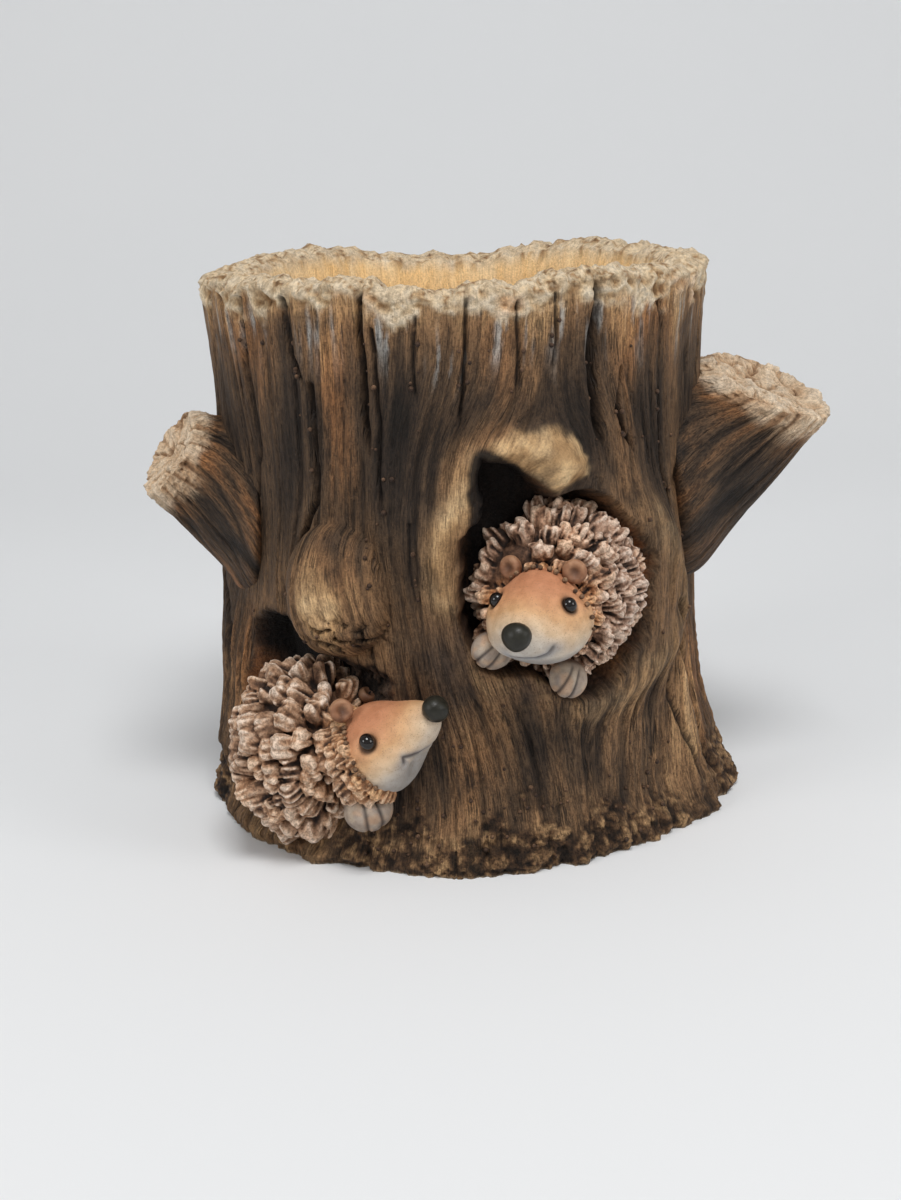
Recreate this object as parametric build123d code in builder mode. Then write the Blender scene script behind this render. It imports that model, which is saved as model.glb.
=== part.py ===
"""Tree-stump planter with two hedgehogs, as separately cast pieces bonded together.

Millimetres. +Z is up, the flat underside is at z = 0 and the drain hole's axis is the Z axis.
-Y is the front. Angles round the stump are in degrees from the front, positive towards +X.
Lengths along a piece's own directions are half sizes where their names say so.
"""

import os
from math import cos, radians, sin

from build123d import *

# Stump casting: outside
planter_height = 214
foot_radius = 107
ankle_radius = 101
root_radius = 95.5
waist_radius = 91
chest_radius = 93
neck_radius = 96
rim_radius = 99
foot_flute_depth = 4.5
waist_flute_depth = 1.6
rim_flute_depth = 2.6
outline_points = 36
level_height_shares = (0.0, 0.05, 0.17, 0.43, 0.72, 0.90, 1.0)
level_radii = (foot_radius, ankle_radius, root_radius, waist_radius, chest_radius, neck_radius, rim_radius)
level_flute_depths = (
    foot_flute_depth,
    foot_flute_depth,
    waist_flute_depth,
    waist_flute_depth,
    waist_flute_depth,
    rim_flute_depth,
    rim_flute_depth,
)
# Each wave of the fluting: lobes round the stump, share of the flute depth, phase in degrees
flute_wave_shares = ((5, 0.55, 30), (7, 0.30, 75), (11, 0.15, 10))

# Stump casting: inside
floor_thickness = 16
cavity_floor_radius = 68
cavity_rim_radius = 81
drain_radius = 7
overrun = 5

# Broken rim: the places of its dips, and each one's share of the dip depth
rim_dip_depth = 7
rim_dip_radius = 45
rim_dip_shares = (
    (-8, 1.0),
    (-62, 0.6),
    (-118, 0.8),
    (172, 1.0),
    (118, 0.5),
    (66, 0.7),
    (28, 0.4),
)

# Bark: the main furrows, each a run of angles and shares of the planter's height
furrow_radius = 3.2
furrow_run_shares = (
    ((-18.8, 1.03), (-19.4, 0.91), (-19.1, 0.84), (-19.4, 0.72)),
    ((-32.1, 0.83), (-32.4, 0.72), (-33.3, 0.63), (-38, 0.56), (-46, 0.45)),
    ((2.7, 0.95), (1.6, 0.86), (0.4, 0.74)),
    ((30.6, 1.03), (29.4, 0.89), (30, 0.78)),
    ((49, 0.93), (50, 0.77), (53, 0.65)),
    ((-52, 0.96), (-53, 0.84), (-52, 0.70), (-56, 0.56)),
    ((66, 0.30), (69, 0.18), (72, 0.05)),
    ((105, 0.96), (108, 0.70), (104, 0.42), (110, 0.09)),
    ((140, 0.96), (137, 0.65), (142, 0.33)),
    ((171, 0.93), (174, 0.75), (170, 0.47), (175, 0.14)),
    ((-150, 0.95), (-147, 0.70), (-152, 0.37)),
    ((-118, 0.93), (-121, 0.65), (-116, 0.28), (-120, 0.06)),
)
# Roots at the foot: each ridge's angle, half width and how far its axis lies inside the skin
root_half_height = 62
root_axis_height = 18
left_root_angle = -79
left_root_radius = 13
left_root_sink = 7
right_root_angle = 82
right_root_radius = 17
right_root_sink = 12
inner_root_angle = 60
inner_root_radius = 10
inner_root_sink = 6

# Hollow of the upper hedgehog, with its swollen lip, brow knot and dark nook
upper_angle = 26
upper_height_share = 0.465
hollow_half_width = 42
hollow_half_height = 38
hollow_depth = 13.5
hollow_taper = 6
lip_radius = 53
lip_half_depth = 17
lip_sink = 9
brow_half_width = 20
brow_radius = 11
brow_turn = -8
brow_rise = 53
nook_half_width = 13
nook_half_height = 9
nook_turn = -19
nook_rise = 40

# Cave of the lower hedgehog, with the burl that hangs over it
lower_angle = -39
cave_angle = -41
cave_half_width = 40
cave_half_height = 30
cave_depth = 15
cave_height = 61
burl_angle = -31
burl_height = 92
burl_half_height = 25
burl_radius = 17

# Branch stubs: the place where each leaves the trunk, the cut end, and its sizes
stub_root_half_depth = 25
stub_root_inset = 8
left_stub_angle = -76
left_stub_root_height = 116
left_stub_root_half_height = 31
left_stub_reach = 22
left_stub_rise = 28
left_stub_lift = 34
left_stub_tip_half_depth = 13
left_stub_tip_half_height = 17
right_stub_angle = 83
right_stub_root_height = 122
right_stub_root_half_height = 37
right_stub_reach = 30
right_stub_rise = 39
right_stub_lift = 66
right_stub_tip_half_depth = 20
right_stub_tip_half_height = 25
stub_waist_share = 0.55
stub_waist_size_share = 0.62

# Hedgehogs: quill coats, with rows of clumps that point away from the face
upper_coat_radius = 31.5
upper_coat_depth = 25
upper_coat_stand = 6
lower_coat_radius = 31
lower_coat_depth = 29
lower_coat_stand = 16
ground_gap = 5
quill_rows = 8
quill_step_share = 0.09
quill_first_angle = 22
quill_last_angle = 150

# Hedgehogs: heads. Each is aimed by a turn round Z from the front and a lift above the horizon.
head_length = 28
head_width = 39
head_height = 35
# Sections of the head: place along it, width, height and drop, as shares of its three sizes
head_section_shares = (
    (-0.55, 0.74, 0.74, 0.00),
    (-0.20, 0.96, 0.96, 0.00),
    (0.12, 1.00, 0.98, 0.03),
    (0.42, 0.78, 0.74, 0.09),
    (0.70, 0.50, 0.47, 0.09),
    (0.93, 0.30, 0.28, 0.04),
)
upper_head_standoff = 13
upper_head_angle = 15
upper_head_drop = 4.5
upper_head_turn = -21
upper_head_lift = 2
lower_head_standoff = 5
lower_head_angle = -17.5
lower_head_rise = 10.5
lower_head_turn = 64
lower_head_lift = 38
lower_head_roll = -5
nose_radius = 5.6
nose_half_depth = 4.8
eye_radius = 2.7
# Where eyes and ears sit on the head: side, up and along, as shares of its width, height and length
upper_eye_place_shares = (0.335, 0.20, 0.29)
lower_eye_place_shares = (0.39, 0.09, 0.26)
upper_ear_place_shares = (0.30, 0.47, -0.10)
lower_ear_place_shares = (0.30, 0.53, 0.10)
ear_radius = 5.6
ear_thickness = 3.2
ear_dish_share = 0.66
ear_flare = 24

# Hedgehogs: paws, short limbs with two toe lines each
paw_radius = 7.4
paw_reach = 17
toe_line_width = 0.9
toe_line_place_share = 0.36
toe_line_start_share = 0.75
upper_left_paw_angle = 6
upper_left_paw_drop = 18.5
upper_right_paw_angle = 22
upper_right_paw_drop = 29.5
upper_paw_standoff = 2
lower_paw_angle = -20.5
lower_paw_height = 23
lower_paw_standoff = 2


def trunk_radius(height):
    """The stump's mean outside radius at a height."""
    share = min(max(height / planter_height, level_height_shares[0]), level_height_shares[-1])
    levels = list(zip(level_height_shares, level_radii))
    for (low, low_radius), (high, high_radius) in zip(levels, levels[1:]):
        if share <= high:
            return low_radius + (high_radius - low_radius) * (share - low) / (high - low)
    return rim_radius


def polar(radius, angle, height):
    """The point at a radius, angle and height round the stump's axis."""
    turn = radians(angle)
    return Vector(radius * sin(turn), -radius * cos(turn), height)


def aimed(origin, turn, lift=0, roll=0):
    """A plane at a point, its normal turned round Z from the front, lifted above the horizon and rolled."""
    side, rise = radians(turn), radians(lift)
    normal = (sin(side) * cos(rise), -cos(side) * cos(rise), sin(rise))
    level = Plane(origin=origin, x_dir=(cos(side), sin(side), 0), z_dir=normal)
    return level.rotated((0, 0, roll))


def shifted(at, across, up, along):
    """The plane moved in its own directions."""
    return Plane(origin=at.from_local_coords(Vector(across, up, along)), x_dir=at.x_dir, z_dir=at.z_dir)


def spheroid(at, radius, half_depth):
    """A ball flattened or drawn out along a plane's normal, centred on its origin."""
    with BuildPart() as ball:
        Sphere(1, rotation=(90, 0, 0))
        scale(by=(radius, radius, half_depth))
    return ball.part.moved(at.location)


def fluted_outline(radius, flute_depth):
    """Points of one wavy horizontal outline of the stump."""
    points = []
    for step in range(outline_points):
        angle = 360 * step / outline_points
        wave = sum(share * cos(radians(lobes * angle + phase)) for lobes, share, phase in flute_wave_shares)
        points.append(polar(radius + flute_depth * wave, angle, 0))
    return [(point.X, point.Y) for point in points]


def outside(form, floor):
    """The part of a form on the outer side of a flat floor."""
    with BuildPart() as piece:
        add(form)
        split(bisect_by=floor, keep=Keep.TOP)
    return piece.part


def socketed(form, *guests):
    """A piece with a socket for each piece that is set into it, so that they meet face to face."""
    with BuildPart() as piece:
        add(form)
        add(list(guests), clean=False, mode=Mode.SUBTRACT)
    return piece.part.solids().sort_by(SortBy.VOLUME)[-1]


# Places that several pieces share
upper_height = upper_height_share * planter_height
upper_surface = trunk_radius(upper_height)
lower_height = lower_coat_radius + ground_gap
lower_surface = trunk_radius(lower_height)
hollow_floor = aimed(polar(upper_surface - hollow_depth, upper_angle, upper_height), upper_angle)
cave_floor = aimed(polar(trunk_radius(cave_height) - cave_depth, cave_angle, cave_height), cave_angle)
coat_floor = aimed(polar(lower_surface - cave_depth, lower_angle, lower_height), lower_angle)
upper_head = aimed(
    polar(upper_surface + upper_head_standoff, upper_head_angle, upper_height - upper_head_drop),
    upper_head_turn,
    upper_head_lift,
)
lower_head = aimed(
    polar(lower_surface + lower_head_standoff, lower_head_angle, lower_height + lower_head_rise),
    lower_head_turn,
    lower_head_lift,
    lower_head_roll,
)


# Quill coats: stepped domes whose rows point away from the face
def quill_coat_form(at, radius, depth, floor):
    """A dome of overlapping quill rows round the plane's normal, cut flat at its floor."""
    section = Plane(origin=at.origin, x_dir=at.x_dir, z_dir=-at.y_dir)
    row_span = (quill_last_angle - quill_first_angle) / quill_rows
    low_share = 1 - quill_step_share
    outline = [(0, low_share * depth * cos(radians(quill_first_angle)))]
    for row in range(quill_rows):
        near = radians(quill_first_angle + row * row_span)
        far = radians(quill_first_angle + (row + 1) * row_span)
        outline.append((low_share * radius * sin(near), low_share * depth * cos(near)))
        outline.append((radius * sin(far), depth * cos(far)))
    outline.append((0, depth * cos(radians(quill_last_angle))))
    with BuildPart() as coat:
        with BuildSketch(section):
            with BuildLine():
                Polyline(*outline, close=True)
            make_face()
        revolve(axis=Axis(at.origin, at.z_dir))
    return outside(coat.part, floor)


upper_coat_centre = shifted(hollow_floor, 0, 0, upper_coat_stand).origin
lower_coat_centre = shifted(coat_floor, 0, 0, lower_coat_stand).origin
upper_coat_axis = aimed(upper_coat_centre, upper_angle + upper_head_turn)
lower_coat_axis = aimed(lower_coat_centre, lower_angle + lower_head_turn / 2, lower_head_lift / 2)
upper_coat_form = quill_coat_form(upper_coat_axis, upper_coat_radius, upper_coat_depth, hollow_floor)
lower_coat_form = quill_coat_form(lower_coat_axis, lower_coat_radius, lower_coat_depth, coat_floor)


# Heads: one form for both hedgehogs, with nose, eyes and ears placed on it
def head_form(at):
    """A head lofted along the plane's normal, from inside the quills to the snout's tip."""
    with BuildPart() as head:
        for along, wide, tall, drop in head_section_shares:
            with BuildSketch(at.offset(along * head_length)):
                with Locations((0, -drop * head_height)):
                    Ellipse(wide * head_width / 2, tall * head_height / 2)
        loft()
    return head.part


def nose_form(at):
    """The nose bead at the snout's tip."""
    tip_drop_share = head_section_shares[-1][-1]
    return spheroid(shifted(at, 0, -tip_drop_share * head_height, head_length), nose_radius, nose_half_depth)


def eye_form(at, side, place_shares):
    """One eye bead, on the side given by a sign."""
    across, up, along = place_shares
    place = shifted(at, side * across * head_width, up * head_height, along * head_length)
    return spheroid(place, eye_radius, eye_radius)


def ear_lobe(at, side, place_shares):
    """One round ear before its front is dished, turned a little outwards, and its plane."""
    across, up, along = place_shares
    place = shifted(at, side * across * head_width, up * head_height, along * head_length)
    place = place.rotated((0, side * ear_flare, 0))
    return spheroid(place, ear_radius, ear_thickness), place


def dished(lobe, place):
    """The ear with the hollow of its front cut out."""
    dish = spheroid(place.offset(ear_thickness), ear_dish_share * ear_radius, ear_dish_share * ear_thickness)
    return socketed(lobe, dish)


# Paws: rounded limbs that reach out over the wood, with two toe lines at the outer end
def paw_plane(angle, height, standoff):
    """The plane of one paw, facing outwards."""
    return aimed(polar(trunk_radius(height) + standoff, angle, height), angle)


def paw_limb(at):
    """One limb before its toe lines are cut."""
    return spheroid(at, paw_radius, paw_reach)


def toed(limb, at):
    """The paw with its toe lines cut into the outer end."""
    with BuildPart() as lines:
        with Locations(at.offset(toe_line_start_share * paw_reach + paw_reach)):
            with GridLocations(2 * toe_line_place_share * paw_radius, 0, 2, 1):
                Box(toe_line_width, 2 * paw_radius, 2 * paw_reach)
    return socketed(limb, lines.part)


upper_nose = nose_form(upper_head)
upper_left_eye = eye_form(upper_head, -1, upper_eye_place_shares)
upper_right_eye = eye_form(upper_head, 1, upper_eye_place_shares)
upper_left_lobe, upper_left_ear_place = ear_lobe(upper_head, -1, upper_ear_place_shares)
upper_right_lobe, upper_right_ear_place = ear_lobe(upper_head, 1, upper_ear_place_shares)
upper_left_paw_place = paw_plane(upper_left_paw_angle, upper_height - upper_left_paw_drop, upper_paw_standoff)
upper_right_paw_place = paw_plane(
    upper_right_paw_angle, upper_height - upper_right_paw_drop, upper_paw_standoff
)
upper_left_limb = paw_limb(upper_left_paw_place)
upper_right_limb = paw_limb(upper_right_paw_place)
lower_nose = nose_form(lower_head)
lower_eye = eye_form(lower_head, -1, lower_eye_place_shares)
lower_near_lobe, lower_near_ear_place = ear_lobe(lower_head, -1, lower_ear_place_shares)
lower_far_lobe, lower_far_ear_place = ear_lobe(lower_head, 1, lower_ear_place_shares)
lower_paw_place = paw_plane(lower_paw_angle, lower_paw_height, lower_paw_standoff)
lower_limb = paw_limb(lower_paw_place)
upper_head_form = head_form(upper_head)
lower_head_form = head_form(lower_head)


# Branch stubs: tapering elbows with a slanting broken end, set into the trunk's side
def branch_stub(angle, root_height, root_half_height, reach, rise, lift, tip_half_depth, tip_half_height):
    """One stub from its flat root inside the trunk's skin, through a waist, to its broken end."""
    surface = trunk_radius(root_height)
    waist_radius_here = surface + stub_waist_share * reach - stub_root_inset
    size = stub_waist_size_share
    root = aimed(polar(surface - stub_root_inset, angle, root_height), angle)
    waist = aimed(
        polar(waist_radius_here, angle, root_height + rise * stub_waist_share), angle, lift * stub_waist_share
    )
    tip = aimed(polar(surface + reach, angle, root_height + rise), angle, lift)
    with BuildPart() as stub:
        with BuildSketch(root):
            Ellipse(stub_root_half_depth, root_half_height)
        with BuildSketch(waist):
            Ellipse(
                size * stub_root_half_depth + (1 - size) * tip_half_depth,
                size * root_half_height + (1 - size) * tip_half_height,
            )
        with BuildSketch(tip):
            Ellipse(tip_half_depth, tip_half_height)
        loft()
    return stub.part


left_branch_stub = branch_stub(
    left_stub_angle,
    left_stub_root_height,
    left_stub_root_half_height,
    left_stub_reach,
    left_stub_rise,
    left_stub_lift,
    left_stub_tip_half_depth,
    left_stub_tip_half_height,
)
right_branch_stub = branch_stub(
    right_stub_angle,
    right_stub_root_height,
    right_stub_root_half_height,
    right_stub_reach,
    right_stub_rise,
    right_stub_lift,
    right_stub_tip_half_depth,
    right_stub_tip_half_height,
)

# Stump shell: the fluted trunk with the swollen lip round its hollow, brow knot and burl, then everything
# that is hollowed out of it in one cut, with a socket for each piece that is set into it
lip = spheroid(
    aimed(polar(upper_surface - lip_sink, upper_angle, upper_height), upper_angle), lip_radius, lip_half_depth
)
brow_height = upper_height + brow_rise
brow_angle = upper_angle + brow_turn
brow = spheroid(
    aimed(polar(trunk_radius(brow_height), brow_angle, brow_height), brow_angle + 90),
    brow_radius,
    brow_half_width,
)
burl = spheroid(
    aimed(polar(trunk_radius(burl_height), burl_angle, burl_height), burl_angle, 90),
    burl_radius,
    burl_half_height,
)


def root_ridge(angle, radius, sink):
    """One root that swells out of the trunk's foot and ends flat on the ground."""
    place = polar(trunk_radius(root_axis_height) - sink, angle, root_axis_height)
    return outside(spheroid(aimed(place, angle, 90), radius, root_half_height), Plane.XY)


def furrow(run):
    """One furrow of the bark, a round bar along its run on the trunk's skin."""
    places = [
        polar(trunk_radius(share * planter_height), angle, share * planter_height) for angle, share in run
    ]
    with BuildPart() as bar:
        with BuildLine() as path:
            Spline(*places)
        with BuildSketch(Plane(origin=path.line @ 0, z_dir=path.line % 0)):
            Circle(furrow_radius)
        sweep(path=path.line)
    return bar.part


roots = [
    root_ridge(left_root_angle, left_root_radius, left_root_sink),
    root_ridge(right_root_angle, right_root_radius, right_root_sink),
    root_ridge(inner_root_angle, inner_root_radius, inner_root_sink),
]
furrows = [furrow(run) for run in furrow_run_shares]
nook_height = upper_height + nook_rise
nook_angle = upper_angle + nook_turn
nook_floor = aimed(polar(upper_surface - hollow_depth, nook_angle, nook_height), nook_angle)
with BuildPart() as hollows:
    with BuildSketch(Plane.XY.offset(floor_thickness)):
        Circle(cavity_floor_radius)
    with BuildSketch(Plane.XY.offset(planter_height + overrun)):
        Circle(cavity_rim_radius)
    loft()
    Cylinder(drain_radius, 2 * floor_thickness + 2 * overrun)
    for angle, share in rim_dip_shares:
        dip_height = planter_height + rim_dip_radius - share * rim_dip_depth
        with BuildSketch(aimed(polar(0, angle, dip_height), angle)):
            Circle(rim_dip_radius)
        extrude(amount=rim_radius + rim_flute_depth + overrun)
with BuildPart() as pockets:
    with BuildSketch(hollow_floor):
        Ellipse(hollow_half_width, hollow_half_height)
    extrude(amount=hollow_depth + lip_half_depth, taper=-hollow_taper)
    with BuildSketch(nook_floor):
        Ellipse(nook_half_width, nook_half_height)
    extrude(amount=hollow_depth + lip_half_depth)
with BuildPart() as cave:
    with BuildSketch(cave_floor):
        Ellipse(cave_half_width, cave_half_height)
    extrude(amount=cave_depth + burl_radius, taper=-hollow_taper)
with BuildPart() as trunk_form:
    for share, radius, depth in zip(level_height_shares, level_radii, level_flute_depths):
        with BuildSketch(Plane.XY.offset(share * planter_height)):
            with BuildLine():
                Spline(*fluted_outline(radius, depth), periodic=True)
            make_face()
    loft()
    add([lip, brow, burl] + roots)
stump_shell = socketed(
    trunk_form.part,
    hollows.part,
    pockets.part,
    cave.part,
    left_branch_stub,
    right_branch_stub,
    upper_left_limb,
    upper_right_limb,
    lower_coat_form,
    lower_head_form,
    lower_nose,
    lower_near_lobe,
    lower_far_lobe,
    lower_limb,
    *furrows,
)

# Upper hedgehog, looking out of the hollow: head, ears and paws are set into the quills
upper_quill_coat = socketed(
    upper_coat_form,
    upper_head_form,
    upper_left_eye,
    upper_right_eye,
    upper_left_lobe,
    upper_right_lobe,
    upper_left_limb,
    upper_right_limb,
)
upper_face = socketed(
    upper_head_form,
    upper_nose,
    upper_left_eye,
    upper_right_eye,
    upper_left_lobe,
    upper_right_lobe,
    upper_left_limb,
    upper_right_limb,
)
upper_left_ear = dished(upper_left_lobe, upper_left_ear_place)
upper_right_ear = dished(upper_right_lobe, upper_right_ear_place)
upper_left_paw = toed(upper_left_limb, upper_left_paw_place)
upper_right_paw = toed(upper_right_limb, upper_right_paw_place)

# Lower hedgehog, lying against the foot and looking up: its far eye and paw are buried in the trunk
lower_quill_coat = socketed(
    lower_coat_form, lower_head_form, lower_eye, lower_near_lobe, lower_far_lobe, lower_limb
)
lower_face = socketed(lower_head_form, lower_nose, lower_eye, lower_near_lobe, lower_far_lobe, lower_limb)
lower_near_ear = dished(lower_near_lobe, lower_near_ear_place)
lower_far_ear = dished(lower_far_lobe, lower_far_ear_place)
lower_paw = toed(lower_limb, lower_paw_place)

pieces = {
    "stump_shell": stump_shell,
    "left_branch_stub": left_branch_stub,
    "right_branch_stub": right_branch_stub,
    "upper_quill_coat": upper_quill_coat,
    "upper_face": upper_face,
    "upper_nose": upper_nose,
    "upper_left_eye": upper_left_eye,
    "upper_right_eye": upper_right_eye,
    "upper_left_ear": upper_left_ear,
    "upper_right_ear": upper_right_ear,
    "upper_left_paw": upper_left_paw,
    "upper_right_paw": upper_right_paw,
    "lower_quill_coat": lower_quill_coat,
    "lower_face": lower_face,
    "lower_nose": lower_nose,
    "lower_eye": lower_eye,
    "lower_near_ear": lower_near_ear,
    "lower_far_ear": lower_far_ear,
    "lower_paw": lower_paw,
}
os.makedirs("parts", exist_ok=True)
for name, piece in pieces.items():
    piece.label = name
    export_step(piece, f"parts/{name}.step")
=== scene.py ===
# %% [markdown]
# This planter is a thick casting of a tree stump with two hedgehogs, painted by hand.
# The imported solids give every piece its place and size, and this lesson gives each its carving and paint.
# We start by loading them and noting the box they fill, because the finished looks must stay close to it.

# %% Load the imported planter
import math

import bpy
import numpy as np
from mathutils import Matrix, Vector


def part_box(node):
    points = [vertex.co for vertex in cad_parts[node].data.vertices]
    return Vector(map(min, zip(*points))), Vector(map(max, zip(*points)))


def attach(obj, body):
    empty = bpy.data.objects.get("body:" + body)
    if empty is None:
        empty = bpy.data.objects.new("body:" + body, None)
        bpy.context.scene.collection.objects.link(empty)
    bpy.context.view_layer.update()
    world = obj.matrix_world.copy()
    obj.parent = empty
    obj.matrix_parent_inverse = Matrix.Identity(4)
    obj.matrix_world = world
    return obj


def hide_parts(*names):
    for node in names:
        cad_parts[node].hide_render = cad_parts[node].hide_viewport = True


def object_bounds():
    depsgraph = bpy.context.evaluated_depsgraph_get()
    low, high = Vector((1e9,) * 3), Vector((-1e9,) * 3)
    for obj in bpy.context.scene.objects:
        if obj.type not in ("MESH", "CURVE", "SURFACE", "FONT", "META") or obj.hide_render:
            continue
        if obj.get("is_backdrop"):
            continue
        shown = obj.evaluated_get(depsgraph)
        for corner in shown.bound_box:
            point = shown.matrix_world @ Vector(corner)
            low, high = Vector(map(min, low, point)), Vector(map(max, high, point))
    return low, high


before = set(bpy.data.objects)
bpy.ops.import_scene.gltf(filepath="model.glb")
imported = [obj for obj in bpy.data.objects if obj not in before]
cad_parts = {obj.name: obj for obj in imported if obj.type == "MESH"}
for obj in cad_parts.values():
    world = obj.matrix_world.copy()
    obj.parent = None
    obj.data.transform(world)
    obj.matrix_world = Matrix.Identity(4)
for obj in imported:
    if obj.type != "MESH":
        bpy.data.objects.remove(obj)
cad_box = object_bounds()
MM = 0.001
bpy.ops.object.select_all(action="DESELECT")
print("nodes:", ", ".join(sorted(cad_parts)))

# %% [markdown]
# Carving by code needs a few plain tools: soft steps, bell-shaped bumps and repeatable noise.
# The noise is a number for each corner of a lattice, blended smoothly between the corners.
# It gives the same carving on every run, which a random brush would not.


# %% Soft steps, bells and noise
def smooth(low, high, x):
    """A soft step from 0 to 1."""
    t = np.clip((x - low) / (high - low), 0, 1)
    return t * t * (3 - 2 * t)


def bell(x, width):
    """A round bump of height 1."""
    return np.exp(-((x / width) ** 2))


def lattice(x, y, z, seed):
    """A repeatable number from -1 to 1 for each corner of the lattice."""
    n = (x * 374761393 + y * 668265263 + z * 1442695041 + seed * 1274126177) & 0xFFFFFFFF
    n = ((n ^ (n >> 13)) * 1274126177) & 0xFFFFFFFF
    n = ((n ^ (n >> 15)) * 2246822519) & 0xFFFFFFFF
    return (n ^ (n >> 16)) / 2147483648.0 - 1.0


def noise(points, seed=0):
    """Smooth noise from -1 to 1 at each point."""
    cell = np.floor(points).astype(np.int64)
    t = points - cell
    t = t * t * t * (t * (t * 6 - 15) + 10)
    total = np.zeros(len(points))
    for corner in range(8):
        step = [(corner >> axis) & 1 for axis in range(3)]
        weight = np.ones(len(points))
        for axis in range(3):
            weight *= t[:, axis] if step[axis] else 1 - t[:, axis]
        total += weight * lattice(cell[:, 0] + step[0], cell[:, 1] + step[1], cell[:, 2] + step[2], seed)
    return total


def layered(points, layers=3, seed=0, gain=0.5):
    """Noise with finer and weaker layers added."""
    total, size, reach = 0, 1.0, 0
    for layer in range(layers):
        total = total + size * noise(points * 2.03**layer + 17.7 * layer, seed + layer)
        reach += size
        size *= gain
    return total / reach


tried = noise(np.random.default_rng(1).uniform(-9, 9, (2000, 3)))
print("noise spans", tried.min().round(2), "to", tried.max().round(2))

# %% [markdown]
# The stump is carved in its own unrolled coordinates: an angle round the trunk and a height.
# Outlines of the hollows, knots and cracks are drawn there as short lists of points.
# The distance to such a line or outline then tells each point of the surface how far to move.


# %% Lines and outlines drawn on the bark
TRUNK_RADIUS = 93
ARC = TRUNK_RADIUS * math.pi / 180


def wrapped(angle):
    """An angle in degrees brought between -180 and 180."""
    return (angle + 180) % 360 - 180


def line_distance(angle, height, points):
    """Distance in mm from a drawn line, and the share of the line passed at the nearest point."""
    px, py = angle * ARC, height
    best = np.full(len(px), 1e9)
    share = np.zeros(len(px))
    for index, ((a0, z0), (a1, z1)) in enumerate(zip(points, points[1:])):
        x0, x1 = a0 * ARC, a1 * ARC
        dx, dz = x1 - x0, z1 - z0
        t = np.clip(((px - x0) * dx + (py - z0) * dz) / (dx * dx + dz * dz + 1e-9), 0, 1)
        away = np.hypot(px - x0 - t * dx, py - z0 - t * dz)
        nearer = away < best
        best = np.where(nearer, away, best)
        share = np.where(nearer, (index + t) / (len(points) - 1), share)
    return best, share


def inside_depth(angle, height, outline):
    """Depth in mm inside a closed outline, negative outside it."""
    closed = list(outline) + [outline[0]]
    away, _ = line_distance(angle, height, closed)
    px, py = angle * ARC, height
    inside = np.zeros(len(px), bool)
    for (a0, z0), (a1, z1) in zip(closed, closed[1:]):
        x0, x1 = a0 * ARC, a1 * ARC
        crosses = (z0 > py) != (z1 > py)
        inside ^= crosses & (px < (x1 - x0) * (py - z0) / (z1 - z0 + 1e-9) + x0)
    return np.where(inside, away, -away)


HOLLOW = [
    (3.5, 145), (5, 149.5), (8, 148.5), (12.7, 145.5), (17, 142), (19, 138), (21.3, 135.4), (25, 137.3),
    (29, 136.7), (33, 133), (37.4, 126), (40.8, 120), (44, 112), (46, 104.7), (46.6, 94.6), (46.4, 88),
    (45.4, 82), (43, 76.6), (39.6, 71.5), (36.2, 67), (32.3, 63.8), (29.5, 60), (25.4, 59), (21.7, 60.7),
    (19.4, 64), (18, 68.5), (16, 71.7), (12, 72), (8, 71.8), (4, 74.7), (1.6, 80), (0.4, 85.5), (-0.7, 93),
    (-1, 101.4), (-0.7, 109), (-1.1, 116), (-0.7, 122.5), (1.6, 126), (3.8, 129.5), (4.9, 134),
    (3.3, 139.5),
]
CAVE = [
    (-62, 81), (-57, 86.5), (-51, 89.5), (-46, 88), (-41.4, 84.5), (-38.2, 80), (-32.3, 76.8), (-27, 75),
    (-21.8, 74), (-17.6, 72), (-15.3, 68.7), (-16, 62), (-20, 50), (-26, 34), (-30, 16), (-36, 6), (-50, 6),
    (-62, 20), (-67, 40), (-68, 55), (-66, 62), (-63.4, 73),
]
BROW = [
    (5, 149), (7, 156), (12.7, 160), (19.4, 160.5), (26, 156), (30, 148), (29, 141), (21.2, 136.5),
    (16.6, 141.5),
    (10, 147.5),
]
LIP_RIGHT = [
    (36, 135), (45.4, 127), (54.3, 110), (61.5, 92), (62, 81), (57.3, 71.8), (49, 64.5), (38.2, 59),
    (28, 55),
]
LIP_LEFT = [(6.5, 155), (1.2, 137), (-3.4, 126), (-4.8, 114.4), (-3.8, 101)]
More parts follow.
